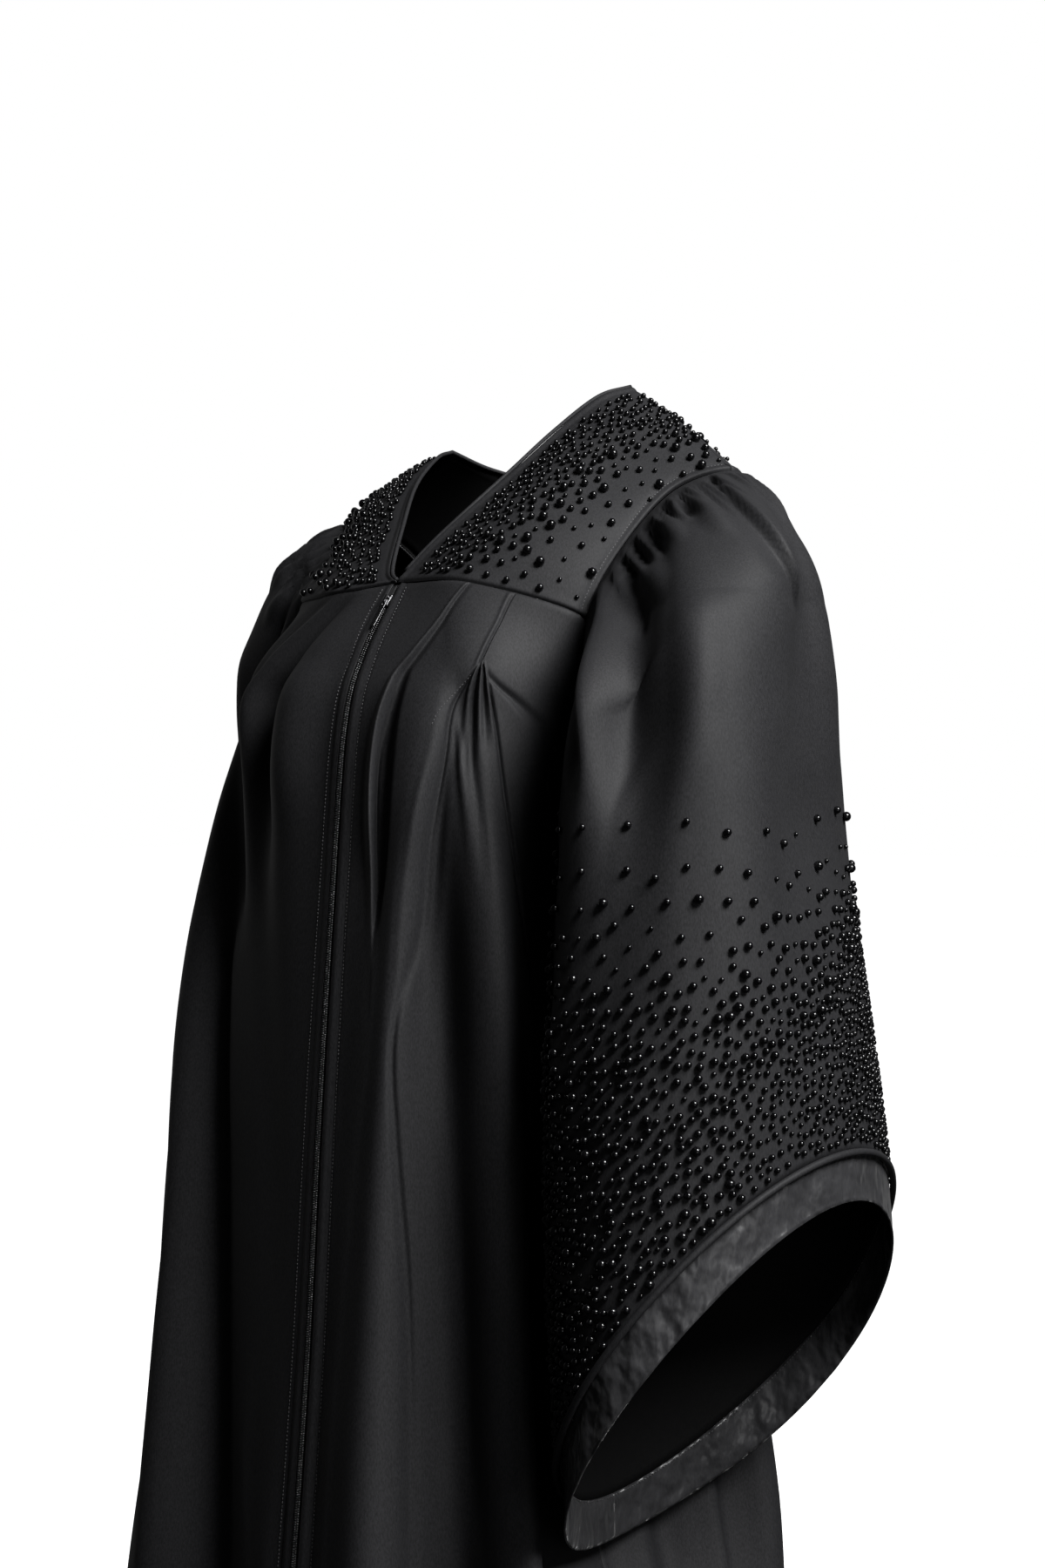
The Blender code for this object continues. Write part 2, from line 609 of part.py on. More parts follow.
def build_sleeves(group):
    """Two sleeves, their shiny bands and the piping between."""
    for half in (LEFT, RIGHT):
        middle = sleeve_axis(half)
        sheet("sleeve_" + half.name, group, BLACK_SATIN,
              lambda u, v, half=half: sleeve_point(half, round_sleeve(u), sleeve_rows(v)),
              ((0.0, 1.0), (0.0, 1.0)), SLEEVE_SEGMENTS, middle, closed=True)
        sheet("cuff_band_" + half.name, group, SHINY_BAND,
              lambda u, v, half=half: sleeve_point(half, u, v),
              ((0.0, ARMHOLE_PLACES), BAND_SPAN), BAND_SEGMENTS, middle, closed=True)
        around = np.linspace(0, ARMHOLE_PLACES, PIPING_POINTS, endpoint=False)
        seam = sleeve_point(half, around, np.ones_like(around), PIPING_RADIUS + PIPING_CLEARANCE)
        tube("cuff_piping_" + half.name, group, BLACK_SATIN, seam, PIPING_RADIUS, True)


def build_binding(group):
    """Rolled edge round the neck, from one side of the zip to the other."""
    points = []
    count = BINDING_POINTS // 4
    for half, order in ((LEFT, 1), (RIGHT, -1)):
        v = np.linspace(0.05, 1.0, count)
        u = np.linspace(1.0, 0.0, count)[1:]
        edge = front_yoke_point(half, np.zeros_like(v), v)
        within = front_yoke_point(half, np.full_like(v, 0.06), v)
        back_edge = back_yoke_half(half, u, np.zeros_like(u))
        back_within = back_yoke_half(half, u, np.full_like(u, 0.06))
        run = np.concatenate([off_edge(edge, within), off_edge(back_edge, back_within)])
        points.append(run if order > 0 else run[::-1][1:])
    tube("neck_binding", group, BLACK_SATIN, np.concatenate(points), BINDING_RADIUS, False)


def off_edge(edge, within):
    """Points beyond a panel's edge, clear of it by the binding's radius."""
    away = edge - within
    away /= np.linalg.norm(away, axis=1, keepdims=True)
    return edge + away * (BINDING_RADIUS + BINDING_CLEARANCE)


def front_edge_frame(station):
    """Point on the centre front at a station, with the way down along it and the way out from it."""
    here, below = smooth(np.arange(len(CENTRE_FRONT)), CENTRE_FRONT, np.array([station, station + 0.1]))
    down = Vector(below - here).normalized()
    return Vector(here), down, down.cross(Vector((1, 0, 0))).normalized()


def tape_point(half, u, station):
    """Point of a zip tape: beside the chain (u 0), behind the front's edge (u 0.5), then along the front."""
    behind = -CLOTH - TAPE_CLEARANCE
    zero = np.zeros_like(u)
    column = zero + FRONT_SPAN[1] / FRONT_SEGMENTS[0]
    beside = centre_strip(zero + half.sign * TAPE_INNER, station, -behind)
    edge, first = front_point(half, zero, station, behind), front_point(half, column, station, behind)
    inner = beside + (edge - beside) * np.clip(u * 2, 0, 1)[:, None]
    return inner + (first - edge) * (np.clip(u * 2 - 1, 0, 1) * dict(TAPE_REACH)[half.name])[:, None]


def centre_strip(x, station, behind):
    """Point beside the centre line at a station, a distance behind the fronts' outer face."""
    knots = np.arange(len(CENTRE_FRONT))
    slope = smooth(knots, CENTRE_FRONT, station + 0.05) - smooth(knots, CENTRE_FRONT, station - 0.05)
    slope /= np.linalg.norm(slope, axis=1, keepdims=True)
    inward = np.stack([np.zeros_like(x), -slope[:, 2], slope[:, 1]], axis=1)
    sideways = np.stack([x, np.zeros_like(x), np.zeros_like(x)], axis=1)
    return smooth(knots, CENTRE_FRONT, station) + sideways + inward * behind


def build_tapes(group):
    """The two zip tapes behind the fronts and the chain between them."""
    for half in (LEFT, RIGHT):
        sheet("zip_tape_" + half.name, group, ZIP_TAPE_FINISH,
              lambda u, v, half=half: tape_point(half, u, station_rows(v)),
              ((0.0, 1.0), (0.0, 1.0)), (2, FRONT_SEGMENTS[1]), body_axis, TAPE_THICKNESS)
    span = (SLIDER_STATION + CHAIN_BELOW_SLIDER, HEM_STATION - CHAIN_ABOVE_HEM)
    sheet("zip_chain", group, ZIP_METAL, lambda u, v: centre_strip((u - 0.5) * CHAIN_WIDTH, v, 0.0),
          ((0.0, 1.0), span), CHAIN_SEGMENTS, body_axis, CHAIN_THICKNESS)


def slab(bm, frame, along, out, width, foot_width=None):
    """Box in the zip's own directions: spans along and out, and its width across, tapered to foot_width."""
    origin, down, normal = frame
    made = bmesh.ops.create_cube(bm, size=1.0)["verts"]
    for vert in made:
        a, b, c = (vert.co + Vector((0.5, 0.5, 0.5)))
        across_width = width + ((foot_width or width) - width) * b
        vert.co = (
            origin + Vector((1, 0, 0)) * (a - 0.5) * across_width
            + down * (along[0] + (along[1] - along[0]) * b)
            + normal * (out[0] + (out[1] - out[0]) * c)
        )
    return made


def solid(name, group, material_spec, build, bevel):
    """Object from boxes that build(bm) makes, its faces looking out, with softened edges."""
    bm = bmesh.new()
    build(bm)
    bmesh.ops.recalc_face_normals(bm, faces=bm.faces[:])
    mesh = bpy.data.meshes.new(name)
    bm.to_mesh(mesh)
    bm.free()
    obj = place_object(name, mesh, group, material_spec)
    if bevel:
        soft = obj.modifiers.new("soft edges", "BEVEL")
        soft.width = bevel
        soft.segments = 1
    return obj


def joined(obj, other, operation):
    """Boolean of obj with other, which becomes a hidden helper."""
    cut = obj.modifiers.new(operation.lower(), "BOOLEAN")
    cut.operation = operation
    cut.object = other
    other.hide_render = True
    other.display_type = "WIRE"


def build_slider(group, helpers):
    """Slider with the bridge that its pull hangs from."""
    frame = front_edge_frame(SLIDER_STATION)
    half_length = SLIDER_LENGTH / 2
    body = solid("zip_slider", group, ZIP_METAL, lambda bm: slab(
        bm, frame, (-half_length, half_length), (SLIDER_BACK, SLIDER_FACE),
        SLIDER_TOP_WIDTH, SLIDER_FOOT_WIDTH), SLIDER_BEVEL)
    bridge = solid("bridge", helpers, ZIP_METAL, lambda bm: slab(
        bm, frame, (BRIDGE_START, BRIDGE_END), (SLIDER_FACE - BRIDGE_ROOT, BRIDGE_TOP), BRIDGE_WIDTH), 0.0)
    window = solid("bridge_window", helpers, ZIP_METAL, lambda bm: slab(
        bm, frame, (BRIDGE_START + BRIDGE_THICKNESS, BRIDGE_END - BRIDGE_THICKNESS),
        (SLIDER_FACE, BRIDGE_TOP - BRIDGE_THICKNESS), BRIDGE_WIDTH * 2), 0.0)
    joined(bridge, window, "DIFFERENCE")
    joined(body, bridge, "UNION")


def build_pull_tab(group, helpers):
    """Flat pull tab, its eye round the bridge and its origin on the hinge."""
    frame = front_edge_frame(SLIDER_STATION)
    origin, down, normal = frame
    pivot = origin + down * HINGE_ALONG + normal * HINGE_OUT
    low, high = HINGE_OUT - TAB_THICKNESS / 2, HINGE_OUT + TAB_THICKNESS / 2
    top = HINGE_ALONG - TAB_BAR / 2
    tab = solid("zip_pull_tab", group, ZIP_METAL, lambda bm: slab(
        bm, frame, (top, top + TAB_LENGTH), (low, high), TAB_WIDTH, TAB_FOOT_WIDTH), 0.0)
    eye = solid("tab_eye", helpers, ZIP_METAL, lambda bm: slab(
        bm, frame, (top + TAB_BAR, top + TAB_BAR + TAB_EYE_LENGTH),
        (low - TAB_THICKNESS, high + TAB_THICKNESS), TAB_EYE_WIDTH), 0.0)
    joined(tab, eye, "DIFFERENCE")
    soft = tab.modifiers.new("soft edges", "BEVEL")
    soft.width = TAB_BEVEL
    soft.segments = 1
    for vert in tab.data.vertices:
        vert.co -= pivot
    tab.location = pivot


def build_stop(group):
    """Stop at the foot of the chain."""
    width, depth, height = STOP_SIZE
    frame = front_edge_frame(HEM_STATION - STOP_ABOVE_HEM)
    solid("zip_stop", group, ZIP_METAL, lambda bm: slab(
        bm, frame, (-height / 2, height / 2), (-depth, 0.0), width), STOP_BEVEL)


def main():
    """Builds the gown."""
    clear_scene()
    group = collection("graduation_gown")
    helpers = collection("helpers")
    helpers.hide_render = True
    build_fronts(group)
    build_back(group)
    build_yokes(group)
    build_sleeves(group)
    build_binding(group)
    build_tapes(group)
    build_slider(group, helpers)
    build_pull_tab(group, helpers)
    build_stop(group)


main()
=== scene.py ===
"""Graduation gown: the dressed model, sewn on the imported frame.

Metres, +Z up. The front faces -Y and the wearer's left is at +X. Places run across a panel and levels run
down it, as a maker would mark them: level 0 is the yoke seam and level 8 the hem.
"""

import logging
import math
from dataclasses import dataclass, field
from enum import Enum
from functools import partial
from typing import Callable, Sequence

import bmesh
import bpy
import numpy as np
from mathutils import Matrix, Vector


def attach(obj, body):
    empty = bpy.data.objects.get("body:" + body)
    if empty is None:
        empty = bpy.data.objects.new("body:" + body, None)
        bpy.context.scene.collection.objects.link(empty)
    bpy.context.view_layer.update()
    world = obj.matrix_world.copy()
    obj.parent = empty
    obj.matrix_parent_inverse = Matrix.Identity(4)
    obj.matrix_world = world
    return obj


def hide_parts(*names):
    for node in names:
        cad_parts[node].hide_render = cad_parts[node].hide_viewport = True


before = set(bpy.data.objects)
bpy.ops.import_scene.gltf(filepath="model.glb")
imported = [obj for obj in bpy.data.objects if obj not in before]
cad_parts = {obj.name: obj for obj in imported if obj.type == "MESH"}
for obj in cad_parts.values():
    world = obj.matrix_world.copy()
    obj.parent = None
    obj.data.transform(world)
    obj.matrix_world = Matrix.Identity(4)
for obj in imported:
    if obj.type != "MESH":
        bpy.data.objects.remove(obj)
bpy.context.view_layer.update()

BODY = "gown"
MM = 0.001
HEM_LEVEL = 8.0
UNDERARM_LEVEL = 2.0
ARMHOLE_PLACES = 10.0
FRONT_CORNER = 2.0
SHOULDER_TIP = 5.0
BACK_CORNER = 8.0
CLOTH = 0.0016
LIFT = 0.001  # How far over the cloth its outward way is measured.
REACH = 0.004  # Step along the cloth for its slope.

log = logging.getLogger("gown")
Array = np.ndarray
Socket = bpy.types.NodeSocket
Colour = tuple[float, float, float]
Surface = Callable[[Array, Array], Array]
Rows = tuple[tuple[float, ...], ...]


class Slot(Enum):
    """Material slots of the gown."""

    SATIN = "black_satin"
    BAND = "band_satin"
    TAPE = "zip_tape"
    METAL = "zip_metal"


class Direction(Enum):
    """Which way round a sheet's outer side looks."""

    OUT_OF_BODY = "body"
    OUT_OF_YOKE = "yoke"
    OUT_OF_SLEEVE = "sleeve"


# ---------------------------------------------------------------- the gown's measured lines
@dataclass(frozen=True)
class Half:
    """One side of the gown: rows of points and stations, in metres from the centre plane and neck points."""

    name: str
    sign: float
    reach: float
    puff: float
    corners: Rows
    rears: Rows
    stations: Rows
    armhole: Rows
    neck: Rows
    back_neck: Rows
    sleeve: Rows


CENTRE_FRONT = np.array([
    (0, -0.202, -0.172), (0, -0.247, -0.240), (0, -0.270, -0.305), (0, -0.285, -0.450), (0, -0.302, -0.650),
    (0, -0.316, -0.850), (0, -0.333, -1.030), (0, -0.350, -1.200), (0, -0.365, -1.360),
])
CENTRE_BACK = np.array([
    (0, 0.088, -0.165), (0, 0.100, -0.235), (0, 0.107, -0.305), (0, 0.107, -0.450), (0, 0.115, -0.650),
    (0, 0.130, -0.850), (0, 0.145, -1.030), (0, 0.160, -1.200), (0, 0.175, -1.360),
])
# Station rows: height, front corner x and y, side seam x and y, rear corner x and y.
LEFT = Half(
    name="left", sign=1.0, reach=0.135, puff=1.0,
    corners=((0.092, -0.205, -0.177), (0.125, -0.228, -0.243)),
    rears=((0.100, 0.090, -0.166), (0.120, 0.095, -0.240)),
    stations=(
        (-0.305, 0.135, -0.238, 0.165, -0.090, 0.130, 0.085),
        (-0.450, 0.142, -0.245, 0.156, -0.095, 0.142, 0.088),
        (-0.650, 0.150, -0.248, 0.151, -0.100, 0.155, 0.098),
        (-0.850, 0.160, -0.255, 0.149, -0.100, 0.172, 0.110),
        (-1.030, 0.178, -0.268, 0.150, -0.100, 0.198, 0.118),
        (-1.200, 0.208, -0.282, 0.232, -0.110, 0.212, 0.111),
        (-1.360, 0.240, -0.300, 0.320, -0.115, 0.250, 0.115),
    ),
    armhole=(
        (0.165, -0.090, -0.305), (0.166, -0.126, -0.262), (0.174, -0.144, -0.210), (0.188, -0.112, -0.148),
        (0.207, -0.060, -0.092), (0.243, -0.019, -0.072), (0.226, 0.030, -0.086), (0.204, 0.056, -0.124),
        (0.188, 0.062, -0.170), (0.174, 0.018, -0.258),
    ),
    neck=(
        (0.000, -0.202, -0.172), (0.022, -0.178, -0.137), (0.043, -0.150, -0.104), (0.062, -0.114, -0.068),
        (0.082, -0.074, -0.028), (0.104, -0.036, 0.006), (0.115, 0.000, 0.019),
    ),
    back_neck=(
        (0.000, 0.082, -0.036), (0.060, 0.075, -0.026), (0.098, 0.045, -0.002), (0.115, 0.000, 0.019),
    ),
    sleeve=(
        (-0.200, 0.267, -0.095, 0.089, 0.129), (-0.350, 0.283, -0.113, 0.104, 0.156),
        (-0.550, 0.296, -0.120, 0.120, 0.171), (-0.750, 0.301, -0.117, 0.129, 0.182),
        (-1.030, 0.306, -0.115, 0.135, 0.190),
    ),
)
RIGHT = Half(
    name="right", sign=-1.0, reach=0.150, puff=0.6,
    corners=((0.092, -0.205, -0.180), (0.186, -0.203, -0.243)),
    rears=((0.100, 0.090, -0.166), (0.118, 0.095, -0.240)),
    stations=(
        (-0.305, 0.220, -0.194, 0.157, -0.080, 0.120, 0.092),
        (-0.450, 0.238, -0.202, 0.150, -0.066, 0.122, 0.098),
        (-0.650, 0.265, -0.214, 0.146, -0.058, 0.124, 0.110),
        (-0.850, 0.290, -0.223, 0.143, -0.054, 0.128, 0.124),
        (-1.030, 0.311, -0.230, 0.143, -0.054, 0.138, 0.136),
        (-1.200, 0.327, -0.242, 0.240, -0.064, 0.200, 0.132),
        (-1.360, 0.342, -0.252, 0.330, -0.080, 0.250, 0.125),
    ),
    armhole=(
        (0.157, -0.080, -0.305), (0.165, -0.122, -0.250), (0.174, -0.144, -0.180), (0.178, -0.104, -0.134),
        (0.204, -0.058, -0.102), (0.243, -0.019, -0.086), (0.226, 0.030, -0.098), (0.204, 0.056, -0.130),
        (0.188, 0.062, -0.170), (0.170, 0.016, -0.256),
    ),
    neck=(
        (0.000, -0.202, -0.172), (0.019, -0.190, -0.159), (0.053, -0.140, -0.114), (0.086, -0.085, -0.066),
        (0.108, -0.030, -0.032), (0.115, 0.000, -0.022),
    ),
    back_neck=(
        (0.000, 0.082, -0.036), (0.060, 0.074, -0.048), (0.098, 0.045, -0.038), (0.115, 0.000, -0.022),
    ),
    sleeve=(
        (-0.200, 0.248, -0.016, 0.084, 0.114), (-0.350, 0.258, 0.010, 0.092, 0.133),
        (-0.550, 0.280, 0.030, 0.104, 0.150), (-0.750, 0.294, 0.040, 0.114, 0.160),
        (-1.030, 0.302, 0.042, 0.120, 0.168),
    ),
)
SLEEVE_DEGREES = (-180, -150, -118, -86, -48, 0, 44, 80, 116, 150, 180)


# ---------------------------------------------------------------- folds, as tables
@dataclass(frozen=True)
class Fold:
    """One fold down a panel.

    Its rows are (level, place, height in mm, width towards the centre, width towards the side), and tuck is
    how far its line slides under towards the centre, as a part of its height.
    """

    rows: Rows
    tuck: float = 0.0


@dataclass(frozen=True)
class Puff:
    """One rounded swelling or hollow: its middle, its height in mm, its half sizes and its slant."""

    place: float
    level: float
    height: float
    wide: float
    long: float
    slant: float = 0.0


PLEAT_LINE = (
    (0.0, 0.490), (0.28, 0.395), (0.53, 0.325), (0.89, 0.240), (1.24, 0.182), (1.69, 0.155), (2.0, 0.140),
    (2.3, 0.130), (2.67, 0.135), (2.99, 0.145), (3.29, 0.154), (3.68, 0.156), (4.04, 0.147), (4.6, 0.137),
    (5.2, 0.129), (6.0, 0.126), (8.0, 0.120),
)
DART_LINE = (
    (0.0, 0.682), (0.46, 0.610), (0.90, 0.527), (1.10, 0.495), (1.38, 0.448), (1.78, 0.388), (2.01, 0.372),
    (2.23, 0.362), (2.46, 0.340), (2.79, 0.307), (3.18, 0.285), (3.65, 0.273), (4.03, 0.268), (4.7, 0.272),
    (5.6, 0.270), (8.0, 0.255),
)
SPREAD_LINE = (
    (0.0, 0.700), (0.46, 0.628), (0.90, 0.545), (1.10, 0.513), (1.30, 0.512), (1.63, 0.530), (2.01, 0.552),
    (2.26, 0.570), (2.58, 0.588), (2.9, 0.615), (3.2, 0.640), (3.39, 0.665), (4.5, 0.690), (8.0, 0.700),
)
FAR_PLEAT_LINE = (
    (0.0, 0.485), (0.41, 0.395), (0.77, 0.375), (1.18, 0.365), (1.67, 0.367), (1.96, 0.366), (2.3, 0.340),
    (2.69, 0.312), (3.03, 0.283), (3.32, 0.256), (3.75, 0.210), (4.13, 0.180), (4.85, 0.148), (5.62, 0.122),
    (6.14, 0.107), (8.0, 0.090),
)


def beside(line: Rows, shift: float, columns: Sequence[tuple[float, float, float, float]]) -> Rows:
    """Fold rows that run beside a line.

    Args:
        line: The line's rows of level and place.
        shift: How far the fold is from the line, in places.
        columns: Rows of level, height, near width and far width.

    Returns:
        Rows for a Fold.
    """
    knots, places = zip(*line)
    levels, heights, nears, fars = zip(*columns)
    return tuple(
        (level, place + shift, float(np.interp(level, levels, heights)),
         float(np.interp(level, levels, nears)), float(np.interp(level, levels, fars)))
        for level, place in zip(knots, places)
    )


NEAR_FOLDS = (
    # Edge strip beside the zip, its stitched groove and the flat strip beyond.
    Fold(((0, 0.016, 0.8, 0.016, 0.018), (8, 0.013, 0.8, 0.013, 0.014))),
    Fold(((0, 0.048, -0.9, 0.010, 0.010), (1.0, 0.045, -0.9, 0.009, 0.009), (8, 0.035, -0.9, 0.008, 0.008))),
    # Pleat edge, the groove under it and the deep gap beside it.
    Fold(beside(PLEAT_LINE, -0.004, ((0, 1.5, 0.02, 0.010), (1, 4, 0.03, 0.010), (2, 6, 0.04, 0.010),
                                     (2.6, 5, 0.04, 0.010), (3.3, 0, 0.03, 0.010)))),
    Fold(beside(PLEAT_LINE, 0.008, ((0, -1.0, 0.008, 0.03), (1, -4, 0.009, 0.04), (2, -8, 0.009, 0.04),
                                    (2.8, -8, 0.009, 0.04), (3.3, 0, 0.009, 0.03))), 0.45),
    Fold(((1.2, 0.200, 0, 0.03, 0.03), (2.1, 0.172, -9, 0.030, 0.040), (2.7, 0.172, -9, 0.025, 0.035),
          (3.2, 0.165, 0, 0.02, 0.025))),
    # Line between the first and second drapes.
    Fold(((1.10, 0.495, 0, 0.008, 0.008), (1.38, 0.448, -3, 0.012, 0.010), (1.78, 0.388, -3, 0.012, 0.010),
          (2.23, 0.362, -3, 0.012, 0.010), (2.79, 0.307, -3, 0.012, 0.011), (3.18, 0.285, -3, 0.012, 0.012),
          (3.65, 0.236, -3, 0.012, 0.012), (4.03, 0.240, -3.5, 0.014, 0.014), (4.7, 0.262, -4, 0.016, 0.016),
          (5.6, 0.268, -4, 0.018, 0.018), (8.0, 0.270, -5, 0.022, 0.022)), 0.3),
    # Small upper drape and its hollow.
    Fold(((1.9, 0.400, 0, 0.02, 0.02), (2.34, 0.422, 4, 0.02, 0.02), (2.57, 0.440, 3, 0.02, 0.02),
          (3.0, 0.470, 0, 0.02, 0.02))),
    Fold(((1.5, 0.475, 0, 0.01, 0.01), (1.99, 0.468, -4, 0.016, 0.018), (2.27, 0.465, -4, 0.018, 0.018),
          (2.6, 0.486, -3, 0.018, 0.018), (3.1, 0.500, 0, 0.02, 0.02))),
    # Line on the far side of the broad drape.
    Fold(((1.10, 0.505, 0, 0.008, 0.008), (1.63, 0.530, -4, 0.011, 0.011), (2.01, 0.552, -4, 0.011, 0.011),
          (2.58, 0.588, -4, 0.012, 0.013), (2.9, 0.615, -3.5, 0.014, 0.015),
          (3.2, 0.640, -2.5, 0.016, 0.018),
          (3.5, 0.675, -1.0, 0.020, 0.020), (3.9, 0.700, 0, 0.02, 0.02)), -0.2),
    # Slanting crease to the underarm.
    Fold(((1.15, 0.500, 0, 0.02, 0.02), (1.38, 0.532, -2.5, 0.020, 0.030), (1.71, 0.633, -4, 0.035, 0.050),
          (2.15, 0.740, -3.5, 0.05, 0.06), (2.6, 0.830, 0, 0.05, 0.06))),
    # Dart seam and the small tucks that fan out under it.
    Fold(((0.0, 0.682, -1.2, 0.007, 0.007), (0.46, 0.610, -1.2, 0.007, 0.007),
          (0.90, 0.527, -1.4, 0.007, 0.007),
          (1.10, 0.495, -2.0, 0.007, 0.007), (1.2, 0.48, 0, 0.007, 0.007))),
    Fold(((0.0, 0.668, 1.2, 0.014, 0.010), (0.46, 0.597, 1.2, 0.014, 0.010),
          (0.90, 0.513, 1.4, 0.014, 0.010),
          (1.08, 0.484, 1.4, 0.012, 0.010), (1.3, 0.46, 0, 0.01, 0.01))),
    Fold(((1.08, 0.492, 0, 0.006, 0.006), (1.25, 0.476, 3.0, 0.010, 0.008), (1.6, 0.447, 3.5, 0.016, 0.012),
          (2.0, 0.43, 2, 0.02, 0.02), (2.4, 0.41, 0, 0.02, 0.02))),
    Fold(((1.10, 0.495, 0, 0.004, 0.004), (1.25, 0.485, -3.0, 0.007, 0.006), (1.6, 0.466, -4, 0.010, 0.009),
          (1.95, 0.455, -2, 0.015, 0.015), (2.3, 0.445, 0, 0.02, 0.02))),
    Fold(((1.08, 0.499, 0, 0.004, 0.004), (1.25, 0.495, 3.2, 0.008, 0.007), (1.6, 0.487, 4.0, 0.013, 0.011),
          (2.0, 0.484, 2.5, 0.018, 0.018), (2.3, 0.484, 0, 0.02, 0.02))),
    Fold(((1.10, 0.501, 0, 0.004, 0.004), (1.25, 0.504, -3.0, 0.006, 0.006), (1.6, 0.506, -4, 0.009, 0.009),
          (1.95, 0.510, -2.5, 0.014, 0.014), (2.3, 0.513, 0, 0.02, 0.02))),
    Fold(((1.08, 0.505, 0, 0.004, 0.004), (1.25, 0.512, 3.0, 0.007, 0.007), (1.6, 0.521, 3.5, 0.010, 0.010),
          (2.0, 0.535, 2, 0.015, 0.015), (2.3, 0.555, 0, 0.02, 0.02))),
)
FAR_FOLDS = (
    Fold(((0, 0.014, 0.8, 0.014, 0.014), (8, 0.011, 0.8, 0.011, 0.010))),
    Fold(((0, 0.045, -0.9, 0.009, 0.009), (1.0, 0.030, -0.9, 0.008, 0.008), (8, 0.022, -0.9, 0.007, 0.007))),
)


def unraised(marks: Rows) -> Rows:
    """The same places with no height."""
    return tuple((place, 0) for place, _ in marks)


# Broad drapes: a level and its (place, height in mm) marks, in NEAR_DRAPES, FAR_DRAPES and SLEEVE_DRAPES and
# the marks above each. A fitting program made their numbers, and some were changed afterwards.
NEAR_TOP_MARKS = (
    (0, 0), (0.035, 0), (0.19, 6), (0.306, 8), (0.334, 6), (0.364, -4), (0.392, -8),
    (0.505, -1), (0.576, -3), (0.668, 0), (0.93, -14), (1, 0),
)
NEAR_DRAPES = (
    (0, unraised(NEAR_TOP_MARKS)),
    (1.2, unraised(NEAR_TOP_MARKS)),
    (2.18, NEAR_TOP_MARKS),
    (2.57, ((0, 0), (0.035, 0), (0.19, 8), (0.273, 13), (0.296, 13), (0.333, -6),
          (0.382, -4), (0.517, 5), (0.596, 0), (0.641, 1), (0.954, -14), (1, 0))),
    (2.89, ((0, 0), (0.035, 0), (0.176, 6), (0.247, 13), (0.268, 12), (0.311, -10),
          (0.362, -8), (0.528, 15), (0.61, 3), (0.659, 1), (0.962, -12), (1, 0))),
    (3.31, ((0, 0), (0.035, 0), (0.176, 10), (0.23, 15), (0.25, 13), (0.291, -9),
          (0.335, -15), (0.536, 22), (0.633, 6), (0.704, -1), (0.963, -8), (1, 0))),
    (3.67, ((0, 0), (0.035, 0), (0.165, 12), (0.224, 17), (0.25, 12), (0.286, -6),
          (0.329, -16), (0.547, 23), (0.639, 7), (0.709, -3), (0.967, -7), (1, 0))),
    (4.22, ((0, 0), (0.035, 0), (0.132, 10), (0.219, 17), (0.261, 4), (0.305, -11),
          (0.363, -17), (0.56, 25), (0.629, 7), (0.688, -3), (0.975, -9), (1, 0))),
    (4.77, ((0, 0), (0.035, 0), (0.11, 10), (0.227, 17), (0.271, -3), (0.323, -21),
          (0.401, -22), (0.558, 28), (0.636, 6), (0.681, -4), (0.978, -10), (1, 0))),
    (5.35, ((0, 0), (0.035, 0), (0.094, 10), (0.238, 14), (0.275, -8), (0.317, -25),
          (0.419, -27), (0.56, 29), (0.646, 2), (0.686, -3), (0.973, -7), (1, 0))),
    (5.92, ((0, 0), (0.035, 0), (0.09, 10), (0.241, 13), (0.272, -8), (0.292, -20),
          (0.466, -22), (0.577, 29), (0.623, 0), (0.686, 3), (0.969, 0), (1, 0))),
    (8, ((0, 0), (0.035, 0), (0.088, 10), (0.239, 14), (0.27, -8), (0.29, -21),
          (0.464, -23), (0.575, 30), (0.621, 0), (0.684, 3), (0.967, 0), (1, 0))),
)
FAR_TOP_MARKS = (
    (0, 0), (0.03, 0), (0.199, 6), (0.235, -17), (0.352, 9), (0.38, -9), (0.464, -11),
    (0.567, 0), (0.693, 6), (0.805, 3), (0.93, 0), (1, 0),
)
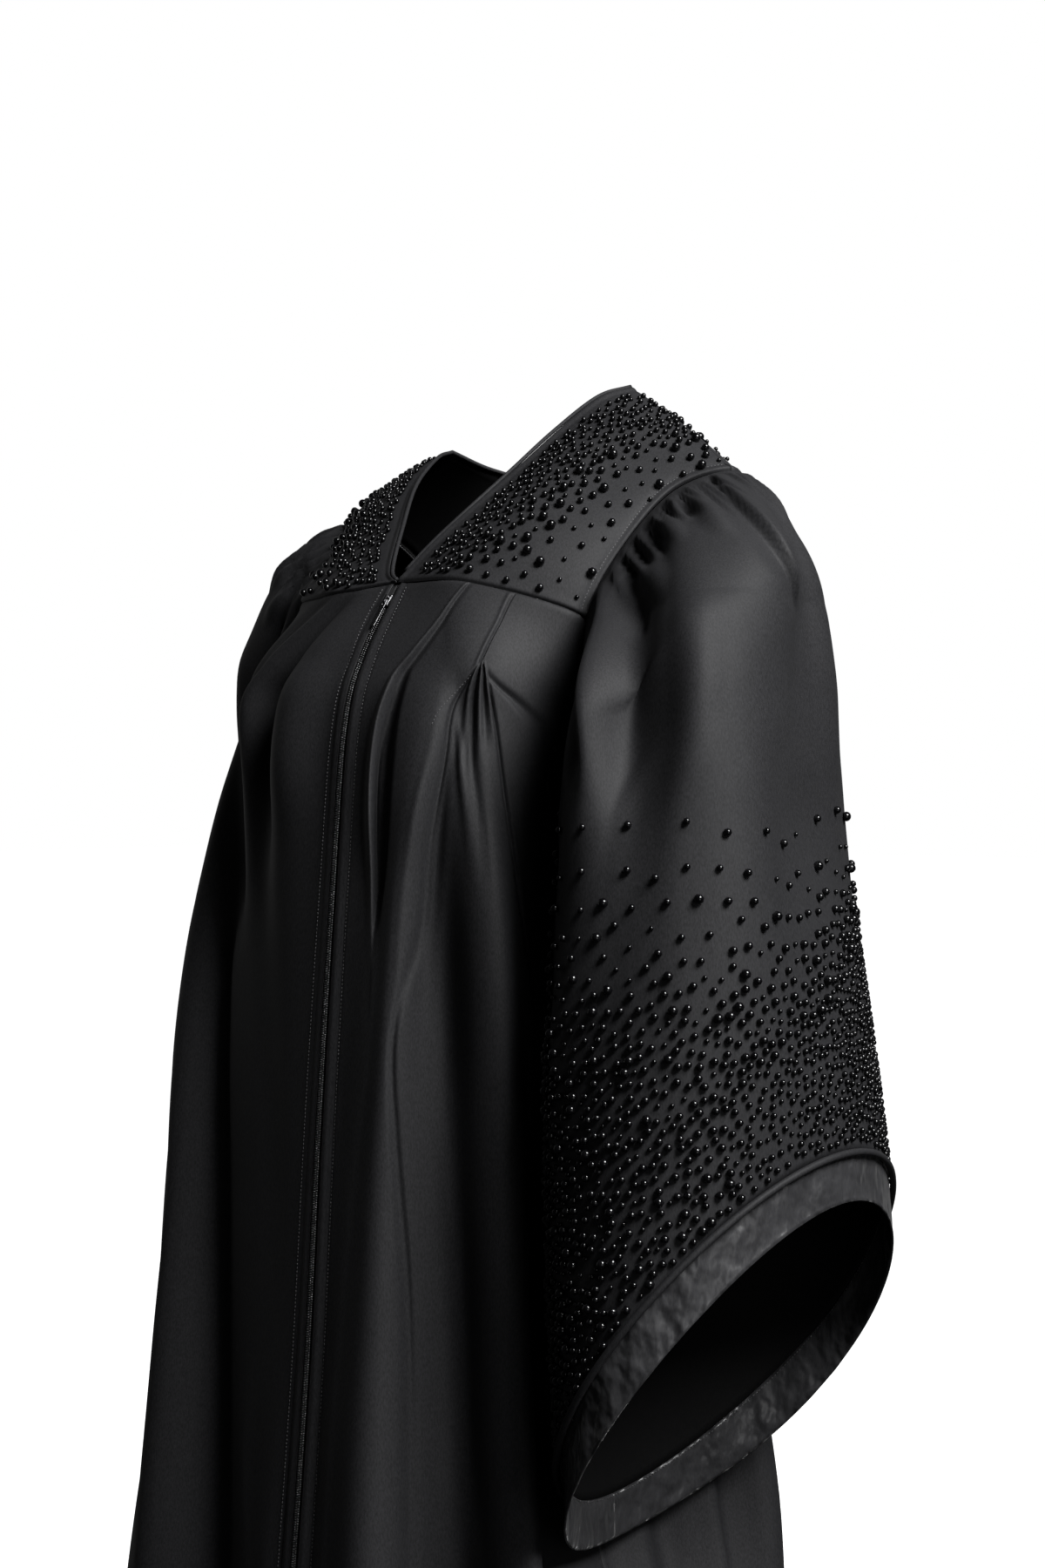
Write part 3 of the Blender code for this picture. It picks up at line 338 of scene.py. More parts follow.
FAR_DRAPES = (
    (0, unraised(FAR_TOP_MARKS)),
    (1, ((0, 0), (0.03, 0), (0.199, 3), (0.235, -8), (0.352, 4), (0.38, -4),
          (0.464, -6), (0.567, 0), (0.693, 3), (0.805, 2), (0.93, 0), (1, 0))),
    (1.87, FAR_TOP_MARKS),
    (2.52, ((0, 0), (0.03, 0), (0.177, 7), (0.199, -4), (0.294, 4), (0.353, -14),
          (0.428, -10), (0.483, 6), (0.636, 5), (0.765, 3), (0.931, 0), (1, 0))),
    (2.92, ((0, 0), (0.03, 0), (0.153, 6), (0.188, 0), (0.257, 2), (0.325, -17),
          (0.392, -13), (0.447, 11), (0.59, 5), (0.736, 3), (0.933, 0), (1, 0))),
    (3.35, ((0, 0), (0.03, 0), (0.115, 3), (0.167, 0), (0.222, 0), (0.293, -5),
          (0.337, -13), (0.4, 17), (0.546, 5), (0.695, 3), (0.938, 0), (1, 0))),
    (3.74, ((0, 0), (0.03, 0), (0.089, 1), (0.131, -1), (0.186, 0), (0.266, -5),
          (0.294, -13), (0.364, 21), (0.494, 6), (0.657, 3), (0.937, 0), (1, 0))),
    (4.33, ((0, 0), (0.03, 0), (0.062, 0), (0.096, -1), (0.14, 0), (0.217, -5),
          (0.246, -13), (0.333, 26), (0.395, 9), (0.614, 6), (0.931, 0), (1, 0))),
    (4.93, ((0, 0), (0.03, 0), (0.051, 0), (0.096, 0), (0.127, 0), (0.182, -5),
          (0.213, -13), (0.312, 29), (0.345, 10), (0.588, 6), (0.93, 0), (1, 0))),
    (5.59, ((0, 0), (0.03, 0), (0.052, 1), (0.102, 0), (0.122, 0), (0.152, -5),
          (0.178, -13), (0.29, 33), (0.325, 15), (0.566, 6), (0.934, 0), (1, 0))),
    (6.22, ((0, 0), (0.03, 0), (0.052, 2), (0.076, 1), (0.096, 0), (0.126, -5),
          (0.158, -13), (0.274, 37), (0.307, 21), (0.543, 7), (0.934, 0), (1, 0))),
    (8, ((0, 0), (0.03, 0), (0.05, 2), (0.069, 1), (0.089, 0), (0.119, -5),
          (0.15, -13), (0.262, 37), (0.294, 21), (0.521, 7), (0.934, 0), (1, 0))),
)
HEAD_MARKS = (
    (1, 0), (1.68, -2), (2.12, 1), (2.4, -1), (2.56, 12), (2.98, -22), (3.68, -5),
    (3.84, 3), (4.24, 9), (4.97, 10), (5.18, 0), (5.79, 0), (6.6, 0),
)
BELL_MARKS = (
    (1, 0), (1.72, -2), (2.05, 1), (2.27, -3), (2.76, -11), (3.05, -14), (3.56, -10),
    (3.88, 1), (4.48, 8), (4.74, -7), (4.96, -16), (6.17, -11), (6.6, 0),
)
SLEEVE_DRAPES = (
    (0, unraised(HEAD_MARKS)),
    (0.06, ((1, 0), (1.68, -1), (2.12, 0), (2.4, 0), (2.56, 7), (2.98, -11), (3.68, -3),
          (3.84, 2), (4.24, 4), (4.97, 5), (5.18, 0), (5.79, 0), (6.6, 0))),
    (0.172, HEAD_MARKS),
    (0.213, ((1, 0), (1.73, -2), (2.09, -2), (2.42, -4), (2.59, 6), (2.95, -27), (3.68, -5),
          (3.9, 13), (4.21, 16), (4.95, 8), (5.14, -2), (5.79, 0), (6.6, 0))),
    (0.258, ((1, 0), (1.73, -4), (2.07, -2), (2.41, -2), (2.67, -2), (2.96, -27), (3.71, -7),
          (3.93, 16), (4.22, 19), (4.89, 7), (5.08, -3), (5.76, 0), (6.6, 0))),
    (0.303, ((1, 0), (1.72, -4), (2.05, -2), (2.35, -2), (2.76, -9), (3.01, -26), (3.75, -8),
          (3.94, 15), (4.23, 19), (4.85, 4), (5.04, -5), (5.79, -1), (6.6, 0))),
    (0.348, ((1, 0), (1.71, -3), (2.03, -3), (2.31, -5), (2.81, -12), (3.02, -20), (3.75, -10),
          (3.95, 12), (4.23, 17), (4.83, 1), (5.01, -7), (5.89, -4), (6.6, 0))),
    (0.392, ((1, 0), (1.71, -3), (2.03, -3), (2.3, -5), (2.81, -13), (3, -17), (3.71, -11),
          (3.92, 8), (4.3, 15), (4.81, -1), (4.97, -8), (5.98, -7), (6.6, 0))),
    (0.447, ((1, 0), (1.71, -3), (2.04, -1), (2.28, -4), (2.79, -11), (3, -14), (3.63, -11),
          (3.89, 3), (4.41, 12), (4.77, -5), (4.94, -11), (6.08, -11), (6.6, 0))),
    (0.501, BELL_MARKS),
    (0.72, ((1, 0), (1.72, -1), (2.05, 0), (2.27, -2), (2.76, -6), (3.05, -7), (3.56, -5),
          (3.88, 0), (4.48, 4), (4.74, -4), (4.96, -8), (6.17, -6), (6.6, 0))),
    (1, unraised(BELL_MARKS)),
)
BACK_FOLDS = (
    Fold(((2.8, 0.72, 0, 0.04, 0.04), (5, 0.70, -20, 0.045, 0.045), (8, 0.69, -26, 0.05, 0.05))),
    Fold(((2.8, 0.81, 0, 0.04, 0.04), (5, 0.80, 12, 0.045, 0.05), (8, 0.79, 15, 0.05, 0.05))),
    Fold(((2.8, 0.93, 0, 0.03, 0.03), (5, 0.92, -13, 0.040, 0.035), (8, 0.915, -17, 0.045, 0.04))),
    Fold(((0.0, -0.72, 0, 0.02, 0.02), (0.9, -0.76, 4, 0.05, 0.04), (3, -0.80, 8, 0.05, 0.06),
          (8, -0.83, 14, 0.06, 0.07))),
    Fold(((0.2, -0.63, 0, 0.02, 0.02), (1.6, -0.66, -5, 0.03, 0.04), (4, -0.69, -9, 0.05, 0.05),
          (8, -0.70, -14, 0.06, 0.06))),
    Fold(((0.0, -0.47, 2, 0.02, 0.03), (1.2, -0.49, 5, 0.04, 0.03), (5, -0.52, 9, 0.05, 0.06),
          (8, -0.53, 12, 0.06, 0.06))),
    Fold(((0.5, -0.33, 0, 0.02, 0.02), (2.2, -0.36, -5, 0.04, 0.03), (6, -0.37, -9, 0.05, 0.05),
          (8, -0.37, -12, 0.05, 0.05))),
    Fold(((0.0, -0.14, 2, 0.02, 0.02), (1.8, -0.17, 6, 0.04, 0.05), (5, -0.19, 9, 0.05, 0.05),
          (8, -0.20, 11, 0.06, 0.05))),
    Fold(((0.3, 0.02, 0, 0.02, 0.02), (2.0, 0.01, -6, 0.03, 0.04), (8, 0.02, -11, 0.05, 0.05))),
    Fold(((0.0, 0.21, 2, 0.02, 0.02), (1.3, 0.22, 5, 0.03, 0.04), (4, 0.25, 9, 0.05, 0.05),
          (8, 0.26, 12, 0.05, 0.06))),
    Fold(((0.4, 0.38, 0, 0.02, 0.02), (2.6, 0.40, -6, 0.04, 0.04), (8, 0.44, -12, 0.06, 0.06))),
    Fold(((0.0, 0.55, 2, 0.02, 0.02), (1.0, 0.56, 5, 0.03, 0.04), (4, 0.60, 9, 0.05, 0.05),
          (8, 0.61, 13, 0.06, 0.06))),
    Fold(((0.2, 0.73, 0, 0.02, 0.02), (1.7, 0.75, -5, 0.04, 0.04), (8, 0.79, -12, 0.06, 0.06))),
)
SLEEVE_FOLDS = (
    # Flap of the pleat from the shoulder tip towards the back.
    Fold(((0.0, 4.60, 2.0, 0.045, 0.22), (0.06, 4.65, 4.5, 0.045, 0.26), (0.12, 4.77, 6.0, 0.050, 0.30),
          (0.17, 4.90, 5.5, 0.050, 0.30), (0.20, 5.02, 4.0, 0.055, 0.28), (0.23, 5.16, 0, 0.06, 0.24))),
    Fold(((0.0, 4.54, -2, 0.24, 0.045), (0.06, 4.59, -4, 0.26, 0.045), (0.12, 4.71, -5.5, 0.28, 0.050),
          (0.17, 4.84, -5, 0.28, 0.050), (0.20, 4.96, -3.5, 0.26, 0.055), (0.24, 5.12, 0, 0.24, 0.06))),
    Fold(((0.02, 5.2, 3, 0.25, 0.4), (0.12, 5.5, 6, 0.30, 0.45), (0.3, 5.75, 4, 0.4, 0.5),
          (0.6, 5.8, 0, 0.4, 0.5))),
    # Back of the sleeve.
    Fold(((0.02, 6.4, -4, 0.2, 0.2), (0.12, 6.6, -9, 0.35, 0.3), (0.30, 6.85, -10, 0.5, 0.55),
          (0.60, 7.0, -5, 0.65, 0.65),
          (1.0, 7.0, 0, 0.6, 0.6))),
    Fold(((0.0, 7.0, 3, 0.2, 0.2), (0.10, 7.25, 7, 0.3, 0.3), (0.30, 7.6, 5, 0.4, 0.4),
          (0.55, 7.8, 0, 0.4, 0.4))),
    Fold(((0.05, 8.6, 0, 0.3, 0.3), (0.30, 8.7, -5, 0.4, 0.4), (0.8, 8.8, -3, 0.5, 0.5),
          (1, 8.8, 0, 0.5, 0.5))),
    Fold(((0.10, 1.3, 0, 0.3, 0.3), (0.35, 1.2, -4, 0.4, 0.4), (0.8, 1.1, -3, 0.5, 0.5),
          (1, 1.1, 0, 0.5, 0.5))),
)
# Small gathers of the sleeve head: place at the seam, place where it ends, depth in mm, width, how far down.
HEAD_GATHERS = (
    (2.42, 2.46, -2.0, 0.05, 0.06), (2.58, 2.66, 2.2, 0.06, 0.07), (2.80, 3.02, 3.4, 0.07, 0.075),
    (2.92, 3.22, -3.8, 0.05, 0.06), (3.04, 3.40, 3.6, 0.06, 0.085), (3.16, 3.46, -3.6, 0.05, 0.07),
    (3.28, 3.62, 3.6, 0.06, 0.08), (3.42, 3.72, -3.6, 0.055, 0.085), (3.58, 3.84, 3.4, 0.06, 0.075),
    (3.74, 3.98, -3.2, 0.05, 0.065), (3.88, 4.08, 3.0, 0.06, 0.07), (4.02, 4.24, -3.2, 0.05, 0.08),
    (4.16, 4.34, 2.6, 0.05, 0.06), (4.30, 4.52, -2.6, 0.04, 0.09), (4.40, 4.62, 2.2, 0.04, 0.07),
    (4.50, 4.80, -2.2, 0.035, 0.075), (4.78, 5.10, 2.4, 0.06, 0.07), (4.98, 5.28, -2.6, 0.05, 0.06),
    (5.22, 5.44, 2.6, 0.06, 0.08), (5.46, 5.66, -2.8, 0.06, 0.07), (5.72, 5.90, 2.8, 0.07, 0.09),
    (5.96, 6.18, -3.2, 0.06, 0.10), (6.20, 6.46, 3.2, 0.07, 0.08), (6.44, 6.62, -3.0, 0.06, 0.09),
    (6.70, 6.92, 3.0, 0.07, 0.10), (6.94, 7.02, -3.2, 0.06, 0.07), (7.18, 7.30, 2.6, 0.06, 0.08),
    (7.40, 7.46, -2.4, 0.06, 0.06),
)
HEAD_PUFFS = (
    Puff(3.42, 0.082, 8.5, 0.30, 0.052, 4.5),
    Puff(3.86, 0.060, 5.0, 0.16, 0.040, 3.0),
    Puff(3.10, 0.100, -6.0, 0.20, 0.034, 3.0),
    Puff(4.28, 0.070, 7.5, 0.20, 0.060, 3.0),
    Puff(4.08, 0.050, -6.5, 0.11, 0.034, 4.0),
    Puff(3.66, 0.045, -5.0, 0.10, 0.026, 3.0),
    Puff(5.40, 0.060, 4.0, 0.22, 0.050, 2.0),
    Puff(6.30, 0.080, 4.5, 0.30, 0.060, 2.0),
    Puff(7.00, 0.070, 4.0, 0.25, 0.050, 2.0),
)


# ---------------------------------------------------------------- curves
def cubic(a: Array, b: Array, slope_a: Array, slope_b: Array, f: Array, step: Array | float = 1.0) -> Array:
    """Cubic from one value to the next.

    Args:
        a: Starts.
        b: Ends.
        slope_a: Slopes at the starts.
        slope_b: Slopes at the ends.
        f: How far along, from 0 to 1.
        step: Distance from start to end, in the slopes' own unit.

    Returns:
        The values.
    """
    return (
        (2 * f**3 - 3 * f**2 + 1) * a + (f**3 - 2 * f**2 + f) * step * slope_a
        + (3 * f**2 - 2 * f**3) * b + (f**3 - f**2) * step * slope_b
    )


def smooth(knots: Sequence[float], values: Sequence, x: Array) -> Array:
    """Smooth curve through rows of values.

    Args:
        knots: Rising positions of the rows.
        values: One row at each knot.
        x: Where to read the curve.

    Returns:
        The curve's values at x.
    """
    knots = np.asarray(knots, float)
    values = np.asarray(values, float)
    slopes = np.gradient(values, knots, axis=0)
    x = np.clip(np.asarray(x, float), knots[0], knots[-1])
    i = np.clip(np.searchsorted(knots, x, side="right") - 1, 0, len(knots) - 2)
    step = knots[i + 1] - knots[i]
    f = (x - knots[i]) / step
    if values.ndim > 1:
        f, step = f[:, None], step[:, None]
    return cubic(values[i], values[i + 1], slopes[i], slopes[i + 1], f, step)


def even(values: Sequence, x: Array) -> Array:
    """Smooth curve through evenly spaced rows, read at x from 0 to 1."""
    return smooth(np.linspace(0, 1, len(values)), values, x)


def unit(rows: Array) -> Array:
    """Rows of vectors at length one."""
    return rows / np.maximum(np.linalg.norm(rows, axis=1, keepdims=True), 1e-12)


def bell(distance: Array, middle: float, width: float) -> Array:
    """Soft ridge, 1 at its middle."""
    return np.exp(-((distance - middle) / width) ** 2)


def hump(offset: Array, near: Array, far: Array) -> Array:
    """Rounded hump, 1 at no offset and 0 at its widths.

    Args:
        offset: Distance from the hump's line.
        near: Width on the negative side.
        far: Width on the positive side.

    Returns:
        Its height, from 0 to 1.
    """
    reach = np.where(offset < 0, near, far)
    return np.cos(np.clip(np.abs(offset) / np.maximum(reach, 1e-6), 0, 1) * math.pi / 2) ** 2


def raise_folds(folds: Sequence[Fold], place: Array, level: Array) -> tuple[Array, Array]:
    """Adds up the folds of a panel.

    Args:
        folds: The folds.
        place: Places across the panel.
        level: Levels down the panel.

    Returns:
        The height at each point and how far the cloth slides towards the side, both in metres.
    """
    height, slide = np.zeros(len(place)), np.zeros(len(place))
    for fold in folds:
        rows = np.array(fold.rows, float)
        at = smooth(rows[:, 0], rows[:, 1:], level)
        raised = hump(place - at[:, 0], at[:, 2], at[:, 3]) * at[:, 1] * MM
        height += raised
        slide += raised * fold.tuck
    return height, slide


def raise_drapes(drapes: Sequence[tuple[float, Rows]], place: Array, level: Array) -> Array:
    """Height of the broad drapes across a panel.

    Args:
        drapes: Rows of a level and its (place, height in mm) marks, the same number of marks in each.
        place: Places across the panel.
        level: Levels down the panel.

    Returns:
        The height at each point, in metres.
    """
    marks = smooth([row[0] for row in drapes], [np.ravel(row[1]) for row in drapes], level)
    at, height = marks[:, 0::2], marks[:, 1::2]
    gap = np.maximum(np.diff(at, axis=1), 1e-4)
    rise = np.diff(height, axis=1) / gap
    slope = np.zeros_like(height)
    slope[:, 1:-1] = (rise[:, :-1] * gap[:, 1:] + rise[:, 1:] * gap[:, :-1]) / (gap[:, 1:] + gap[:, :-1])
    rows = np.arange(len(place))
    i = np.clip(np.sum(at <= place[:, None], axis=1) - 1, 0, at.shape[1] - 2)
    step = gap[rows, i]
    f = np.clip((place - at[rows, i]) / step, 0, 1)
    return MM * cubic(height[rows, i], height[rows, i + 1], slope[rows, i], slope[rows, i + 1], f, step)


def raise_puffs(puffs: Sequence[Puff], place: Array, level: Array) -> Array:
    """Adds up the puffs of a sleeve head.

    Args:
        puffs: The puffs.
        place: Places round the armhole.
        level: Lengths down the sleeve.

    Returns:
        Their height in metres.
    """
    height = np.zeros(len(place))
    for puff in puffs:
        down = level - puff.level
        away = np.hypot((place - puff.place - puff.slant * down) / puff.wide, down / puff.long)
        height += puff.height * MM * np.cos(np.clip(away, 0, 1) * math.pi / 2) ** 2
    return height


# ---------------------------------------------------------------- the form of the gown
@dataclass
class GownForm:
    """The shape the cloth hangs in, before its folds."""

    front_edge: float = 0.0046
    head_gap: float = 0.0008
    rim_middle: float = -0.865
    rim_rise: float = 0.165
    rim_drop: float = 0.020
    rim_radius: float = 0.155
    band_width: float = 0.040
    shoulder_rise: float = 0.004
    corner_turn: float = -2.45
    corner_swing: float = 0.021
    seam_tuck: float = 0.0012
    tuck_depth: float = 0.06
    seam_hold: float = 0.035
    head_hold: float = 0.012
    front_yoke_height: float = 0.125
    back_yoke_height: float = 0.13
    yoke_margin: float = 0.01
    flutes: float = 11.0
    flute_depth: float = 0.013
    pinches: float = 46.0
    pinch_depth: float = 0.0016
    back_fold_share: float = 0.6
    far_drape_share: float = 0.6
    gather_strength: float = 1.8

    def sided(self, half: Half, points: Sequence) -> Array:
        """Rows of points on their own side of the centre plane."""
        return np.asarray(points, float) * (half.sign, 1, 1)

    def armhole(self, half: Half, place: Array) -> Array:
        """Points of the armhole seam at places from 0 to 10, round the closed loop."""
        loop = self.sided(half, half.armhole)
        knots = np.arange(-2, len(loop) + 3)
        return smooth(knots, loop[knots % len(loop)], np.mod(place, ARMHOLE_PLACES))

    def lengthwise(self, upper: Rows, half: Half, column: int, level: Array) -> Array:
        """Lengthwise line through its upper points and two columns of the stations.

        Args:
            upper: Points above the underarm, or none.
            half: The side of the gown.
            column: The first of the line's two columns.
            level: Levels to read it at.

        Returns:
            Points of the line.
        """
        lower = [(row[column], row[column + 1], row[0]) for row in half.stations]
        rows = self.sided(half, list(upper) + lower)
        return smooth(np.arange(len(rows)), rows, level)

    def side_line(self, half: Half, level: Array, upward: float) -> Array:
        """Outer edge of a body panel: the armhole down to the underarm, then the side seam.

        Args:
            half: The side of the gown.
            level: Levels to read it at.
            upward: 1 for the front and -1 for the back.

        Returns:
            Points of the edge.
        """
        start = FRONT_CORNER if upward > 0 else BACK_CORNER
        above = self.armhole(half, start - upward * level)
        below = self.lengthwise((), half, 3, level - UNDERARM_LEVEL)
        return np.where((level < UNDERARM_LEVEL)[:, None], above, below)

    def across(self, centre: Array, corner: Array, side: Array, place: Array) -> Array:
        """Curve from the centre line through the corner to the side.

        Args:
            centre: Points of the centre line.
            corner: Points of the corner line.
            side: Points of the side line.
            place: Places from 0 to 1.

        Returns:
            Points of the curve.
        """
        turn = (side - centre) * 0.5
        start = (corner - centre) * (1.0, 0.35, 1.0)
        end = (side - corner) * (0.0, 1.0, 1.0)
        inner = cubic(centre, corner, start, turn, np.clip(place * 2, 0, 1)[:, None])
        outer = cubic(corner, side, turn, end, np.clip(place * 2 - 1, 0, 1)[:, None])
        return np.where((place < 0.5)[:, None], inner, outer)

    def front(self, half: Half, place: Array, level: Array) -> Array:
        """Front panel, smooth."""
        place, level = np.clip(place, 0, 1), np.clip(level, 0, HEM_LEVEL)
        centre = smooth(np.arange(len(CENTRE_FRONT)), CENTRE_FRONT, level)
        centre[:, 0] += half.sign * self.front_edge
        corner = self.lengthwise(half.corners, half, 1, level)
        return self.across(centre, corner, self.side_line(half, level, 1.0), place)

    def back_half(self, half: Half, place: Array, level: Array) -> Array:
        """Half the back, smooth."""
        centre = smooth(np.arange(len(CENTRE_BACK)), CENTRE_BACK, level)
        rear = self.lengthwise(half.rears, half, 5, level)
        return self.across(centre, rear, self.side_line(half, level, -1.0), place)

    def back(self, place: Array, level: Array) -> Array:
        """Back panel, smooth, from the right side (-1) to the left (1)."""
        place, level = np.clip(place, -1, 1), np.clip(level, 0, HEM_LEVEL)
        left = self.back_half(LEFT, np.abs(place), level)
        right = self.back_half(RIGHT, np.abs(place), level)
        return np.where((place > 0)[:, None], left, right)

    def shoulder(self, half: Half, u: Array) -> Array:
        """Shoulder line, from the neck point (0) to the shoulder tip (1)."""
        neck_point, tip = self.sided(half, [half.neck[-1], half.armhole[int(SHOULDER_TIP)]])
        rise = np.sin(u * math.pi)[:, None] * (0, 0, self.shoulder_rise)
        return neck_point + (tip - neck_point) * u[:, None] + rise

    def patch(self, edges: Sequence[Callable], u: Array, v: Array) -> Array:
        """Patch between four edges.

        Args:
            edges: Bottom and top over u, then near and far over v.
            u: Places along the bottom.
            v: Places up the sides.

        Returns:
            Points of the patch.
        """
        bottom, top, near, far = edges
        zero, one, u1, v1 = np.zeros_like(u), np.ones_like(u), u[:, None], v[:, None]
        ruled = (1 - v1) * bottom(u) + v1 * top(u) + (1 - u1) * near(v) + u1 * far(v)
        low = (1 - u1) * (1 - v1) * bottom(zero) + u1 * (1 - v1) * bottom(one)
        return ruled - low - (1 - u1) * v1 * top(zero) - u1 * v1 * top(one)

    def front_yoke(self, half: Half, u: Array, v: Array) -> Array:
        """Front yoke: neck at u 0, armhole at u 1, seam at v 0, shoulder at v 1."""
        reach = SHOULDER_TIP - FRONT_CORNER
        return self.patch((
            lambda a: self.front(half, a, np.zeros_like(a)),
            lambda a: self.shoulder(half, a),
            lambda b: even(self.sided(half, half.neck), b),
            lambda b: self.armhole(half, FRONT_CORNER + b * reach),
        ), u, v)

    def back_yoke_edge(self, half: Half, u: Array) -> Array:
        """Lower edge of half the back yoke: its seam, then the armhole up to the shoulder tip."""
        seam = self.back_half(half, np.clip(u * 2, 0, 1), np.zeros_like(u))
        place = BACK_CORNER - np.clip(u * 2 - 1, 0, 1) * (BACK_CORNER - SHOULDER_TIP)
        return np.where((u < 0.5)[:, None], seam, self.armhole(half, place))

    def back_yoke_half(self, half: Half, u: Array, v: Array) -> Array:
        """Half the back yoke: centre at u 0, shoulder at u 1, neck at v 0."""
        top, foot = np.asarray(half.back_neck[0]), CENTRE_BACK[0]
        return self.patch((
            lambda a: even(self.sided(half, half.back_neck), a),
            lambda a: self.back_yoke_edge(half, a),
            lambda b: top + (foot - top) * b[:, None],
            lambda b: self.shoulder(half, b),
        ), u, v)

    def back_yoke(self, u: Array, v: Array) -> Array:
        """Back yoke, from the right shoulder (-1) to the left (1)."""
        left = self.back_yoke_half(LEFT, np.abs(u), v)
        right = self.back_yoke_half(RIGHT, np.abs(u), v)
        return np.where((u > 0)[:, None], left, right)

    def sleeve(self, half: Half, place: Array, t: Array) -> Array:
        """Sleeve: t 0 at the armhole, 1 at the band seam and 2 at the band's rim."""
        start = self.armhole(half, place) + (half.sign * self.head_gap, 0, 0)
        start = start - np.clip(-t / 0.004, 0, 1)[:, None] * (half.sign * 0.0040, 0, 0.0030)
        t = np.maximum(t, 0)
        wound = np.clip(place, 0, ARMHOLE_PLACES)
        turn = np.radians(smooth(np.arange(len(SLEEVE_DEGREES)), SLEEVE_DEGREES, wound))
        rim = self.rim_middle + self.rim_rise * np.cos(turn) - self.rim_drop * np.sin(turn) ** 2
        band = self.band_width * np.sqrt(1 + (self.rim_rise / self.rim_radius * np.sin(turn)) ** 2)
        z = start[:, 2] + (rim + band - start[:, 2]) * np.minimum(t, 1) - band * np.maximum(t - 1, 0)
        swing = (1 - (1 - np.clip((start[:, 2] - z) / half.reach, 0, 1)) ** 2) ** half.puff
        rings = np.asarray(half.sleeve)[::-1]
        ring = smooth(rings[:, 0], rings[:, 1:], z)
        x = half.sign * (ring[:, 0] + ring[:, 2] * np.cos(turn))
        y = ring[:, 1] + ring[:, 3] * np.sin(turn)
        x = start[:, 0] + (x - start[:, 0]) * swing
        y = start[:, 1] + (y - start[:, 1]) * swing
        away = np.mod(turn - self.corner_turn + math.pi, 2 * math.pi) - math.pi
        back = self.corner_swing * np.exp(-(away / 0.75) ** 2) * np.clip((t - 0.5) / 0.6, 0, 1) ** 1.5
        return np.stack([x + half.sign * 0.766 * back, y + 0.643 * back, z], axis=1)

    def normals(self, surface: Surface, u: Array, v: Array, step: float = REACH) -> Array:
        """Unit normals of a surface at (u, v)."""
        along = surface(u + step, v) - surface(u - step, v)
        down = surface(u, v + step) - surface(u, v - step)
        return unit(np.cross(along, down))

    # ------------------------------------------------------------ with folds
    def folded_front(self, half: Half, place: Array, level: Array, lift: float = 0.0) -> Array:
        """Front panel with its folds.

        Args:
            half: The side of the gown.
            place: Places across the panel.
            level: Levels down the panel.
            lift: Distance out from the cloth.

        Returns:
            Points of the panel.
        """
        form = partial(self.front, half)
        out = self.normals(form, place, level) * -half.sign
        sideways = unit(form(place + REACH, level) - form(place - REACH, level))
        folds = NEAR_FOLDS if half.sign > 0 else FAR_FOLDS
        height, slide = raise_folds(folds, place, level)
        height += raise_drapes(NEAR_DRAPES if half.sign > 0 else FAR_DRAPES, place, level)
        height = height * np.clip(level / self.seam_hold, 0, 1)
        height = height - self.seam_tuck * np.clip(1 - level / self.tuck_depth, 0, 1) + lift
        return form(place, level) + out * height[:, None] + sideways * slide[:, None]

    def folded_back(self, place: Array, level: Array, lift: float = 0.0) -> Array:
        """Back panel with its flutes, its folds and the gathers below the yoke."""
        part = smooth((0, 1, 3, 8), (0.15, 0.35, 0.6, 1.0), level)
        fade = np.clip((1 - np.abs(place)) / 0.12, 0, 1)
        wander = place + 0.014 * np.sin(5.1 * place + 0.8) + 0.006 * np.sin(1.7 * level + 4 * place)
        wave = np.cos(wander * math.pi * self.flutes) * self.flute_depth * part
        wave *= 1 + 0.30 * np.sin(7.3 * place + 1.1)
        pinch = np.cos(math.pi * self.pinches * (place + 0.006 * np.sin(19 * place)))
        wave += self.pinch_depth * pinch * np.clip(1 - level / 0.9, 0, 1) * np.clip(level / 0.1, 0, 1)
        height, _ = raise_folds(BACK_FOLDS, place, level)
        height = (wave + height * self.back_fold_share) * fade
        height = height - self.seam_tuck * np.clip(1 - level / self.tuck_depth, 0, 1) + lift
        return self.back(place, level) + self.normals(self.back, place, level) * height[:, None]

    def worked_front_yoke(self, half: Half, u: Array, v: Array, lift: float = 0.0) -> Array:
        """Front yoke with its turned edges, a little proud of the panels it is sewn over."""
        form = partial(self.front_yoke, half)
        margin = self.yoke_margin
        inside_u, inside_v = np.clip(u, margin, 1 - margin), np.clip(v, margin, 1 - margin)
        out = self.normals(form, inside_u, inside_v) * half.sign
        size = np.linalg.norm(form(np.ones_like(v), v) - form(np.zeros_like(v), v), axis=1)
        height = yoke_relief((1 - u) * size, v * self.front_yoke_height, u * size)
        dip = 0.0016 * np.sin(9 * u + 2) * np.sin(6 * v + 1) * np.sin(math.pi * np.clip(v, 0, 1))
        return form(u, v) + out * (height + dip + lift)[:, None]

    def worked_back_yoke(self, u: Array, v: Array, lift: float = 0.0) -> Array:
        """Back yoke with its turned edges."""
        out = -self.normals(self.back_yoke, u, np.clip(v, self.yoke_margin, 1 - self.yoke_margin))
        chest = np.array((0.0, -0.10, -0.20))
        facing = np.sign(np.sum(out * (self.back_yoke(u, v) - chest), axis=1, keepdims=True))
        tall = self.back_yoke_height
        height = yoke_relief((1 - v) * tall, np.ones_like(v), v * tall)
        return self.back_yoke(u, v) + out * facing * (height + lift)[:, None]

